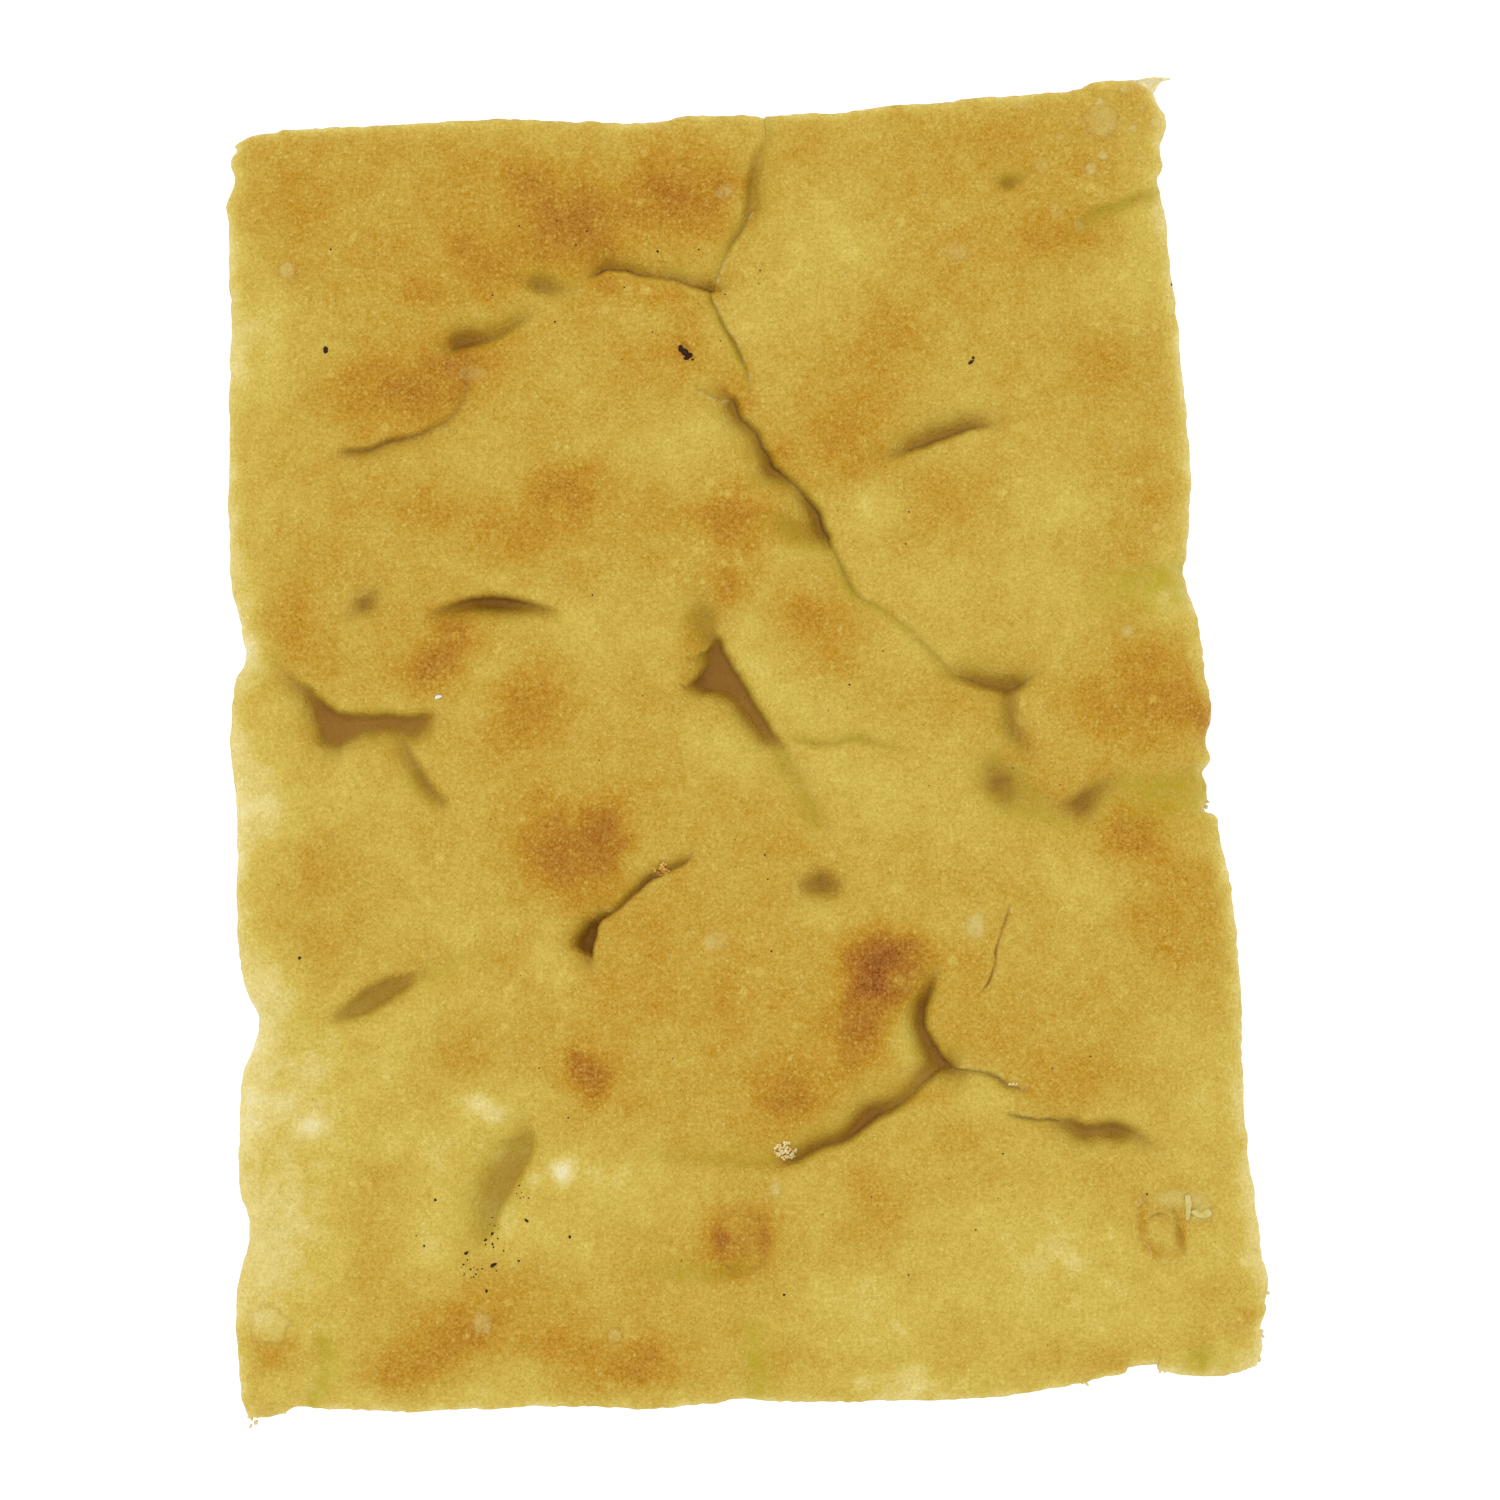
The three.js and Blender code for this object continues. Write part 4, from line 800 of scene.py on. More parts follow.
@dataclass
class Slab:
    """The slab's form: its outline, its folds and the height and bake of its top crust.

    The crust lies at a level, turns down at the sides and ends, and nowhere comes down to less than
    the thinnest. A patch strays a little from where it was read, and the less so the smaller it is
    than `free_patch`, in pixels. The other sizes are in millimetres.
    """

    level: float = 19.6
    thinnest: float = 8.6
    side_drop: float = 4.2
    side_reach: float = 8.5
    end_drop: float = 2.2
    end_reach: float = 5.0
    first_bake: float = 0.40
    # The paler rim: less baked crust with painted light where light shines through the thin rim.
    rim_bake_and_light: float = 0.02
    pale_and_lit_side: float = 1.8
    pale_and_lit_end: float = 1.1
    ring_width: float = 0.13
    stray_across: Parts = ((1.0, 9, 41), (0.8, 3, 42))
    stray_along: Parts = ((1.0, 9, 43), (0.8, 3, 44))
    mottle: Parts = ((0.05, 5, 45), (0.04, 1.8, 46))
    swell: Parts = ((0.35, 13, 61), (0.16, 4.5, 62))
    pimples: Parts = ((0.05, 1.5, 63),)
    free_patch: float = 30.0
    width: float = 135.0
    length: float = 178.0
    nick_reach: float = 5.0
    ragged_reach: float = 1.2
    raggedness: float = 0.24
    edges: dict[str, Edge] = field(init=False)
    folds: Folds = field(init=False)

    def __post_init__(self) -> None:
        """Draw the edges and the folds."""
        self.edges = {
            "left": Edge(LEFT_EDGE, (-1, 0), 11),
            "right": Edge(RIGHT_EDGE, (1, 0), 13),
            "top": Edge(TOP_EDGE, (0, 1), 15),
            "bottom": Edge(BOTTOM_EDGE, (0, -1), 17),
        }
        self.folds = Folds(FOLDS)

    def plan(self, across: Array, along: Array) -> tuple[Array, Array]:
        """Place shares of the way across and along the slab.

        The four edges are blended over the inside, less the corners that both blends count.

        Args:
            across: Shares from the left edge to the right.
            along: Shares from the bottom edge to the top.

        Returns:
            The x and y of those places, in millimetres.
        """
        left, right = self.edges["left"].at(along), self.edges["right"].at(along)
        bottom, top = self.edges["bottom"].at(across), self.edges["top"].at(across)
        u, v = np.asarray(across)[:, None], np.asarray(along)[:, None]
        corners = [self.edges[name].gentle[index] for name, index in
                   (("left", 0), ("right", 0), ("left", -1), ("right", -1))]
        bilinear = ((1 - v) * ((1 - u) * corners[0] + u * corners[1])
                    + v * ((1 - u) * corners[2] + u * corners[3]))
        place = (1 - u) * left + u * right + (1 - v) * bottom + v * top - bilinear
        for edge, near, share in (
            (self.edges["left"], across, along), (self.edges["right"], 1 - across, along),
            (self.edges["bottom"], along, across), (self.edges["top"], 1 - along, across),
        ):
            distance = near * (self.width if edge.outward[0] else self.length)
            place += edge.nicks(share) * bell(distance, self.nick_reach)[:, None]
            fade = bell(distance, self.ragged_reach)
            place += (edge.ragged(share, self.raggedness) * fade)[:, None] * edge.outward
        return place[:, 0], place[:, 1]

    def edge_distances(self, across: Array, along: Array) -> tuple[Array, Array]:
        """Return how far places are from the nearer side edge and the nearer end, in millimetres."""
        left, right = self.edges["left"].at(along)[:, 0], self.edges["right"].at(along)[:, 0]
        bottom, top = self.edges["bottom"].at(across)[:, 1], self.edges["top"].at(across)[:, 1]
        side = np.minimum(across, 1 - across) * (right - left)
        end = np.minimum(along, 1 - along) * (top - bottom)
        return side, end

    def moved_in(self, across: Array, along: Array, inset: float) -> tuple[Array, Array]:
        """Return shares of the way across and along moved inside the slab by some millimetres."""
        return (0.5 + (across - 0.5) * (1 - 2 * inset / self.width),
                0.5 + (along - 0.5) * (1 - 2 * inset / self.length))

    @staticmethod
    def shoulder(distance: Array, reach: float, drop: float) -> Array:
        """Return how far the crust has turned down at a distance from an edge: a quarter round."""
        share = np.clip(1 - distance / reach, 0, 1)
        return drop * (1 - np.sqrt(1 - 0.96 * share ** 2))

    def baked(self, x: Array, y: Array) -> Array:
        """Work out how far the crust is baked.

        Args:
            x: Places across, in millimetres.
            y: Places along, in millimetres.

        Returns:
            The bake of each place, from -0.2 for floury dough over 0 for the palest crust to 1.3.
        """
        stray_x, stray_y = blended(x, y, self.stray_across), blended(x, y, self.stray_along)
        bake = np.full_like(x, self.first_bake)
        for patch in PATCHES:
            middle_x, middle_y = Photo.place(patch.across, patch.down)
            turn = math.radians(patch.turn)
            free = min(1.0, min(patch.wide, patch.high) / self.free_patch)
            dx, dy = x + free * stray_x - middle_x, y + free * stray_y - middle_y
            along = (dx * math.cos(turn) + dy * math.sin(turn)) / Photo.length(patch.wide)
            square = (dy * math.cos(turn) - dx * math.sin(turn)) / Photo.length(patch.high)
            cover = patch.hold * np.exp(-(along ** 2 + square ** 2) ** 1.15)
            bake += (patch.level - bake) * cover
        bake += blended(x, y, self.mottle)
        return bake

    def crusted(self, across: Array, along: Array) -> Crusted:
        """Work out the top crust at shares of the way across and along the slab.

        Args:
            across: Shares from the left edge to the right.
            along: Shares from the bottom edge to the top.

        Returns:
            Its places and looks.
        """
        x, y = self.plan(across, along)
        side, end = self.edge_distances(across, along)
        pressed = self.folds.press(x, y)
        # The height: a level with swells, shoulders at the rim and the folds pressed in.
        z = np.full_like(x, self.level)
        for middle_x, middle_y, wide, high, lift in PILLOWS:
            z += lift * np.exp(-((x - middle_x) / wide) ** 2 - ((y - middle_y) / high) ** 2)
        z -= self.shoulder(side, self.side_reach, self.side_drop)
        z -= self.shoulder(end, self.end_reach, self.end_drop)
        z += blended(x, y, self.swell)
        z += blended(x, y, self.pimples)
        z -= pressed.lowered
        over = self.thinnest - z
        z = np.where(over > -1.0, self.thinnest + 0.5 * np.exp(-np.maximum(over + 1.0, 0) / 2), z)
        # The bake, paler at the rim unless the crust is dark there: partly less baked crust, partly
        # painted light where light shines through the thin rim and falls on the turned-down shoulder.
        bake = self.baked(x, y)
        rim_pale_and_lit = bell(side, self.pale_and_lit_side) * (0.75 + 0.2 * unevenness(x, y, 3, 64))
        end_pale_and_lit = bell(end, self.pale_and_lit_end) * (0.55 + 0.3 * unevenness(x, y, 2, 65))
        warm = np.clip((0.95 - bake) / 0.4, 0.25, 1)
        bake = bake + np.minimum(self.rim_bake_and_light - bake, 0) * warm * np.maximum(rim_pale_and_lit, end_pale_and_lit)
        # The blisters, each a low dome with a pale skin and a browner ring.
        skin, ring = np.zeros_like(x), np.zeros_like(x)
        for bubble in BUBBLES:
            middle_x, middle_y = Photo.place(bubble.across, bubble.down)
            near = np.hypot((x - middle_x) / bubble.wide, (y - middle_y) / bubble.high)
            near = near + 0.16 * unevenness(x, y, 1.2, 66)
            z += bubble.lift / (1 + np.exp((near - 0.95) / 0.08))
            skin = np.maximum(skin, bubble.pale / (1 + np.exp((near - 0.85) / 0.12)))
            ring = np.maximum(ring, bubble.ring * bell(near - 1.0, self.ring_width))
        return Crusted(
            x + pressed.shifted[:, 0], y + pressed.shifted[:, 1], z,
            {"bake": bake, "skin": skin, "ring": ring} | pressed.looks,
        )

    def height_at(self, x: Array, y: Array) -> Array:
        """Return the height of the top crust at places, all in millimetres."""
        across = np.clip(x / self.width + 0.5, 0, 1)
        along = np.clip(y / self.length + 0.5, 0, 1)
        for _ in range(5):
            now_x, now_y = self.plan(across, along)
            across = np.clip(across + (x - now_x) / self.width, 0, 1)
            along = np.clip(along + (y - now_y) / self.length, 0, 1)
        return self.crusted(across, along).z


# ---- Finishes ----


def linear(hexadecimal: str) -> tuple[float, float, float, float]:
    """Turn an sRGB hex colour to a linear one.

    Args:
        hexadecimal: Six hex digits.

    Returns:
        Red, green, blue and alpha.
    """
    channels = [int(hexadecimal[i:i + 2], 16) / 255 for i in (0, 2, 4)]
    curve = [c / 12.92 if c <= 0.04045 else ((c + 0.055) / 1.055) ** 2.4 for c in channels]
    return (*curve, 1.0)


Inputs = dict[str | int, object] | Sequence[object]

# Settings that many nodes have.
SMOOTH = {"interpolation_type": "SMOOTHSTEP"}
TIMES = {"operation": "MULTIPLY"}
TIMES_PLUS = {"operation": "MULTIPLY_ADD"}
MINUS = {"operation": "SUBTRACT"}
COLOURS = {"data_type": "RGBA"}
MIXED = 2  # The output of a mix of colours.


def add_node(
    tree: bpy.types.NodeTree, kind: str, inputs: Inputs = (),
    settings: dict[str, object] | None = None,
) -> bpy.types.Node:
    """Add a node with its settings and links.

    Args:
        tree: The material's node tree.
        kind: The node's type name, less the word for shaders that all of them begin with.
        inputs: Its inputs in order, or by name or number: each a value, or a socket or a node to
            link. A node is linked by its first output.
        settings: Its properties.

    Returns:
        The node.
    """
    node = tree.nodes.new("ShaderNode" + kind)
    for name, value in (settings or {}).items():
        setattr(node, name, value)
    for name, value in inputs.items() if isinstance(inputs, dict) else enumerate(inputs):
        source = value.outputs[0] if isinstance(value, bpy.types.Node) else value
        if isinstance(source, bpy.types.NodeSocket):
            tree.links.new(source, node.inputs[name])
        else:
            node.inputs[name].default_value = source
    return node


class Recipe:
    """A material in the making: what it is mixed from, and the steps that several finishes share."""

    def __init__(
        self, name: str, uneven: dict[str, tuple[float, ...]], shares: Sequence[str] = (),
    ) -> None:
        """Start a material.

        Args:
            name: Its name.
            uneven: Each unevenness that it has: how many millimetres wide the bumps are, their
                detail and their roughness, and for one that is spread to a share from low to
                high, those two and the shares that stand for them if they aren't 0 and 1.
            shares: The shares that the mesh holds at its points.
        """
        self.material = bpy.data.materials.new(name)
        self.material.use_nodes = True
        self.tree = self.material.node_tree
        self.tree.nodes.clear()
        self.add = partial(add_node, self.tree)
        place = self.add("TexCoord").outputs["Object"]
        self.millimetres = self.add("VectorMath", {0: place, "Scale": 1 / MM}, {"operation": "SCALE"})
        self.uneven: dict[str, bpy.types.Node] = {}
        for kind, (size, detail, roughness, *spread) in uneven.items():
            bumps = self.add("TexNoise", {"Vector": self.millimetres, "Scale": 1 / size,
                                          "Detail": detail, "Roughness": roughness})
            self.uneven[kind] = self.add("MapRange", (bumps, *spread), SMOOTH) if spread else bumps
        self.shares = {share: self.add("Attribute", (), {"attribute_name": share}).outputs["Fac"]
                       for share in shares}

    def summed(self, start: object, *parts: tuple[object, float]) -> object:
        """Return a start with parts added to it, each times its amount."""
        for value, amount in parts:
            start = self.add("Math", (value, amount, start), TIMES_PLUS)
        return start

    def layered(self, colour: object, *layers: tuple[object, float, str]) -> bpy.types.NodeSocket:
        """Lay colours over one another.

        Args:
            colour: The lowest colour.
            *layers: The share, the strongest weight and the sRGB hex of each colour over it.

        Returns:
            The colour that is seen.
        """
        for share, weight, over in layers:
            cover = share if weight == 1 else self.add("Math", (share, weight), TIMES)
            colour = self.add("Mix", {0: cover, 6: colour, 7: linear(over)}, COLOURS).outputs[MIXED]
        return colour

    def embossed(self, *reliefs: tuple[object, float]) -> bpy.types.Node:
        """Return normals bent by heights from 0 to 1, each so many millimetres tall."""
        inputs: dict[str | int, object] = {}
        for height, tall in reliefs:
            inputs |= {"Height": height, "Distance": tall * MM, "Strength": 1.0}
            bump = self.add("Bump", inputs)
            inputs = {"Normal": bump}
        return bump

    def finish(self, **inputs: object) -> bpy.types.Material:
        """Close the material with its shader.

        Args:
            **inputs: The shader's sockets, with underscores for spaces.

        Returns:
            The material.
        """
        sockets = {name.replace("_", " "): value for name, value in inputs.items()}
        self.add("OutputMaterial", (self.add("BsdfPrincipled", sockets),))
        return self.material


@dataclass(frozen=True)
class OiledCrust:
    """Top crust of an olive-oil dough, baked in a hot oven.

    Sugars and oil brown it from straw to chestnut where it puffed up, oil pools olive in the
    dimples with painted shade on their banks, and fine blisters of under a millimetre give it its
    grain and its broken shine. Fold floors are brown with stained colour and painted shade, and a
    painted shadow darkens the crust under each lip. Pinholes are dots of painted shade.
    """

    dome_spacing: float = 0.66
    blister_spacing: float = 2.3
    pore_spacing: float = 1.5
    grain: float = 0.24
    granule: float = 0.52
    grain_shade: float = 0.66
    granule_shade: float = 0.46
    grain_light: str = "cbba76"
    palest: float = -0.2
    darkest: float = 1.3
    browning: tuple[tuple[float, str], ...] = (
        (0.0, "f4ebc8"), (0.133, "e9d688"), (0.267, "d5ba51"), (0.4, "caa73f"), (0.533, "c29226"),
        (0.667, "b27b1c"), (0.8, "a66a19"), (0.933, "905412"), (1.0, "7c430f"),
    )
    # Olive of oil soaked into the dough, with painted shade on the banks of the folds.
    olive_oil_and_shade: str = "b5a312"
    # A fold floor's brown: the dough's stained colour with painted shade in it.
    fold_floor: str = "935f22"
    # Painted shadow under a fold's overhanging lip.
    lip_shadow: str = "4e2c12"
    torn_dough: str = "e6d69c"
    blister_skin: str = "dccf88"
    ring_brown: str = "a4681c"
    # Painted shade of tiny pinholes.
    pinhole_shade: str = "80551a"

    def _scattered(self, recipe: Recipe, spacing: float, small: float, spread: float,
                   rare: float) -> bpy.types.Node:
        """Strew round spots over the crust.

        Args:
            recipe: The material in the making.
            spacing: How far apart the places for a spot are, in millimetres.
            small: The radius of the smallest, as a share of the spacing.
            spread: How much the largest is larger.
            rare: The share of the places that stay empty.

        Returns:
            1 at the middles of the spots and 0 between them.
        """
        add = recipe.add
        cells = add("TexVoronoi", {"Vector": recipe.millimetres, "Scale": 1 / spacing})
        chance = add("SeparateColor", (cells.outputs["Color"],))
        radius = add("Math", (chance, spread, small), TIMES_PLUS)
        inside = add("Math", (cells, radius), {"operation": "DIVIDE"})
        spot = add("MapRange", (inside, 0.45, 1.1, 1.0, 0.0), SMOOTH)
        kept = add("MapRange", (chance.outputs["Green"], rare, rare + 0.05), SMOOTH)
        return add("Math", (spot, kept), TIMES)

    def _browned(self, recipe: Recipe, level: object) -> bpy.types.NodeSocket:
        """Return the colour of crust that is baked to a level, from the palest to the darkest."""
        above = recipe.add("Math", (level, self.palest), MINUS)
        place = recipe.add("Math", (above, self.darkest - self.palest),
                           {"operation": "DIVIDE", "use_clamp": True})
        ramp = recipe.add("ValToRGB", (place,))
        elements = ramp.color_ramp.elements
        while len(elements) < len(self.browning):
            elements.new(0.5)
        for element, (stop, colour) in zip(elements, self.browning):
            element.position = stop
            element.color = linear(colour)
        return ramp.outputs["Color"]

    def made(self) -> bpy.types.Material:
        """Return the material."""
        recipe = Recipe(
            "oiled_top_crust",
            {"grain": (self.grain, 2.0, 0.7), "granules": (self.granule, 2.0, 0.6),
             "crowds": (16.0, 2.0, 0.5, 0.42, 0.62), "broad": (7.0, 3.0, 0.5),
             "narrow": (2.4, 3.0, 0.5), "blotches": (2.0, 3.0, 0.5, 0.3, 0.7, 0.35, 1.0),
             "crumbly": (0.9, 3.0, 0.6), "swell": (1.1, 2.0, 0.6)},
            ("bake", "olive", "skin", "stain", "ring", "line", "torn"),
        )
        add, uneven, shares = recipe.add, recipe.uneven, recipe.shares
        grain, granules, bake = uneven["grain"], uneven["granules"], shares["bake"]
        domes = self._scattered(recipe, self.dome_spacing, 0.25, 0.35, 0.30)
        blisters = self._scattered(recipe, self.blister_spacing, 0.14, 0.30, 0.55)
        # Tiny pinholes, shown only by dots of painted shade.
        pores = self._scattered(recipe, self.pore_spacing, 0.05, 0.09, 0.55)
        few = add("Math", (blisters, uneven["crowds"]), TIMES)

        broad, narrow, fine = (
            add("Math", (uneven[name], 0.5), MINUS) for name in ("broad", "narrow", "granules"))
        risen = add("MapRange", (bake, 0.1, 0.8, 0.02, 0.16), SMOOTH)
        level = recipe.summed(
            bake, (broad, 0.18), (narrow, 0.22), (fine, -0.12),
            (add("Math", (domes, risen), TIMES), -0.8), (add("Math", (few, risen), TIMES), -1.1),
        )
        colour = self._browned(recipe, level)

        # The grain's hollows lie in shade, and its crests catch the light.
        light = recipe.summed(
            -0.5 * (self.grain_shade + self.granule_shade), (grain, self.grain_shade),
            (granules, self.granule_shade), (domes, 0.08), (few, 0.08),
        )
        lit = {0: 1.0, 6: linear(self.grain_light), 7: light}
        lit = {0: 1.0, 6: colour, 7: add("Mix", lit, COLOURS | {"blend_type": "MULTIPLY"}).outputs[MIXED]}
        colour = add("Mix", lit, COLOURS | {"blend_type": "ADD"}).outputs[MIXED]

        # The olive of oil and painted shade, broken up into blotches.
        oil_and_shade = add("Math", (shares["olive"], uneven["blotches"]), TIMES)
        worn = add("MapRange", (uneven["crumbly"], 0.3, 0.65, 0.4), SMOOTH)
        ragged = add("MapRange", (uneven["crumbly"], 0.48, 0.60), SMOOTH)
        # Over the grain lie the pinholes' painted shade, paler blister skins, the olive of oil and
        # painted shade, the fold floors' stained colour with painted shade, browner blister rings, the
        # painted shadow under the lips and pale torn dough.
        colour = recipe.layered(
            colour, (pores, 0.30, self.pinhole_shade),
            (add("Math", (shares["skin"], worn), TIMES), 0.65, self.blister_skin),
            (oil_and_shade, 0.70, self.olive_oil_and_shade), (shares["stain"], 0.84, self.fold_floor),
            (shares["ring"], 0.60, self.ring_brown), (shares["line"], 0.85, self.lip_shadow),
            (add("Math", (shares["torn"], ragged), TIMES), 0.7, self.torn_dough),
        )
        height = recipe.summed(
            add("Math", (uneven["swell"], 0.12), TIMES), (grain, 0.10), (granules, 0.10),
            (domes, 0.07), (few, 0.12),
        )
        roughness = add("MapRange", (granules, 0.3, 0.7, 0.60, 0.36), SMOOTH)
        return recipe.finish(
            Base_Color=colour, Roughness=roughness, Normal=recipe.embossed((height, 1.0)), IOR=1.45,
            Specular_IOR_Level=0.20, Subsurface_Weight=0.0,
        )


@dataclass(frozen=True)
class OpenCrumb:
    """Crumb of a wet, long-risen dough, cut with a knife.

    Gluten sheets the colour of cream round open cells, with painted shade inside the cells and
    their pores, and a tan tinge towards both crusts.
    """

    cream: str = "f0e4c0"
    shade: str = "e2cd97"
    # Painted shade inside the crumb's cells and pores.
    hollow: str = "c6a25a"
    tan: str = "bd8a3a"
    strand: float = 0.5
    pore_spacing: float = 0.8

    def made(self) -> bpy.types.Material:
        """Return the material."""
        recipe = Recipe(
            "open_crumb",
            {"fleck": (self.strand, 3.0, 0.6, 0.3, 0.7), "patch": (6.0, 2.0, 0.5, 0.35, 0.7, 0.0, 0.35),
             "tooth": (0.35, 3.0, 0.65)},
            ("hollow", "crusty"),
        )
        cells = recipe.add(
            "TexVoronoi", {"Vector": recipe.millimetres, "Scale": 1 / self.pore_spacing})
        pores = recipe.add("MapRange", (cells, 0.15, 0.5, 1.0, 0.0), SMOOTH)
        # Painted shade in the pores and deeper in the carved cells.
        colour = recipe.layered(
            linear(self.shade), (recipe.uneven["fleck"], 1, self.cream),
            (recipe.uneven["patch"], 1, self.shade), (pores, 0.35, self.hollow),
            (recipe.shares["hollow"], 0.55, self.hollow), (recipe.shares["crusty"], 1, self.tan),
        )
        solid = recipe.add("Math", (1.0, pores), MINUS)
        normal = recipe.embossed((recipe.uneven["tooth"], 0.12), (solid, 0.18))
        return recipe.finish(
            Base_Color=colour, Roughness=0.68, Normal=normal, IOR=1.4, Specular_IOR_Level=0.2,
            Subsurface_Weight=0.15, Subsurface_Radius=(1.0, 0.6, 0.25), Subsurface_Scale=0.0012,
        )


@dataclass(frozen=True)
class PanCrust:
    """Bottom crust fried in the oil of a steel tray.

    It is an even golden brown with darker freckles where bubbles stood on the metal, and has the
    soft shine of oil.
    """

    golden: str = "bf8a38"
    brown: str = "95602a"
    pale: str = "d8b065"
    freckle: float = 1.6

    def made(self) -> bpy.types.Material:
        """Return the material."""
        recipe = Recipe(
            "pan_fried_base",
            {"broad": (22.0, 3.0, 0.5, 0.3, 0.7), "light": (9.0, 3.0, 0.5, 0.55, 0.75, 0.0, 0.7),
             "freckles": (self.freckle, 4.0, 0.6, 0.5, 0.62, 0.0, 0.55), "tooth": (0.5, 3.0, 0.5),
             "waves": (2.5, 2.0, 0.5), "dullness": (3.0, 2.0, 0.5, 0.3, 0.7, 0.38, 0.6)},
            ("rim",),
        )
        uneven = recipe.uneven
        colour = recipe.layered(
            linear(self.golden), (uneven["broad"], 1, self.brown), (uneven["light"], 1, self.pale),
            (uneven["freckles"], 1, self.brown), (recipe.shares["rim"], 1, self.pale),
        )
        normal = recipe.embossed((uneven["tooth"], 0.10), (uneven["waves"], 0.2))
        return recipe.finish(
            Base_Color=colour, Roughness=uneven["dullness"], Normal=normal, IOR=1.45,
            Specular_IOR_Level=0.35,
        )


@dataclass(frozen=True)
class DryBit:
    """A small dry thing on the crust, such as a crumb, a grain or a scorched fleck.

    Its two colours blend over a fraction of a millimetre, and `shine` lowers its roughness.
    """

    name: str
    light: str
    dark: str
    fleck: float
    shine: float = 0.0
    glow: float = 0.0

    def made(self) -> bpy.types.Material:
        """Return the material."""
        recipe = Recipe(self.name, {"fleck": (self.fleck, 3.0, 0.6, 0.3, 0.7),
                                    "tooth": (self.fleck, 3.0, 0.6)})
        return recipe.finish(
            Base_Color=recipe.layered(linear(self.dark), (recipe.uneven["fleck"], 1, self.light)),
            Roughness=0.8 - self.shine, Normal=recipe.embossed((recipe.uneven["tooth"], 0.06)),
            IOR=1.45, Specular_IOR_Level=0.3, Subsurface_Weight=self.glow,
            Subsurface_Radius=(1.0, 0.8, 0.5), Subsurface_Scale=0.0005,
        )


@dataclass(frozen=True)
class PaperFloor:
    """Matt white background paper, lit so evenly that it keeps only a faint shadow."""

    white: str = "b4b4b4"
    shade: str = "b0b0b0"
    tooth: float = 4.0
    glow: float = 0.80

    def made(self) -> bpy.types.Material:
        """Return the material."""
        recipe = Recipe("white_paper", {"fibre": (self.tooth, 2.0, 0.5, 0.3, 0.7)})
        return recipe.finish(
            Base_Color=recipe.layered(linear(self.white), (recipe.uneven["fibre"], 1, self.shade)),
            Roughness=0.9, Specular_IOR_Level=0.1, Emission_Color=linear("ffffff"),
            Emission_Strength=self.glow,
        )


# ---- Making meshes ----


def finished_piece(
    name: str, mesh: bpy.types.Mesh, material: bpy.types.Material,
    replaces: bool = False,
) -> bpy.types.Object:
    """Turn a mesh into a piece of the slab.

    Args:
        name: The piece's name.
        mesh: Its mesh, in metres.
        material: Its finish.
        replaces: Whether it stands for the solid.

    Returns:
        The piece.
    """
    mesh.materials.append(material)
    for polygon in mesh.polygons:
        polygon.use_smooth = True
    piece = bpy.data.objects.new(name, mesh)
    bpy.context.scene.collection.objects.link(piece)
    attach(piece, BODY)
    if replaces:
        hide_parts(NODE)
    return piece


def set_share(mesh: bpy.types.Mesh, name: str, values: Array) -> None:
    """Store a share at each of a mesh's points."""
    layer = mesh.attributes.new(name, "FLOAT", "POINT")
    layer.data.foreach_set("value", np.asarray(values, np.float32))


# The slab's unfoldings seen from above and below fill a square with this side and middle, in
# millimetres.
CHART_SIDE = 186.0
CHART_MIDDLE = (71.5, 93.0)


def points_of(mesh: bpy.types.Mesh) -> Array:
    """Return the points of a mesh in millimetres, one row each."""
    places = np.empty(len(mesh.vertices) * 3)
    mesh.vertices.foreach_get("co", places)
    return places.reshape(-1, 3) / MM


def band(low: int, high: int, count: int) -> list[tuple[int, ...]]:
    """Return the faces between two rings of so many points, whose first points are given."""
    return [(low + i, low + (i + 1) % count, high + (i + 1) % count, high + i)
            for i in range(count)]


def set_chart(mesh: bpy.types.Mesh, place: Callable[[Array, Array, Array], Array]) -> None:
    """Give a mesh its own unfolding for baking.

    Args:
        mesh: The mesh.
        place: Takes each face corner's point, its face and its number in the face, and returns a
            row of u and v for each.
    """
    count = len(mesh.loops)
    points = np.empty(count, np.int32)
    mesh.loops.foreach_get("vertex_index", points)
    faces = np.empty(count, np.int32)
    for polygon in mesh.polygons:
        faces[polygon.loop_start:polygon.loop_start + polygon.loop_total] = polygon.index
    corners = np.arange(count) - np.searchsorted(faces, faces)
    layer = mesh.uv_layers.new(name="OFBake")
    layer.data.foreach_set("uv", np.asarray(place(points, faces, corners), np.float32).ravel())


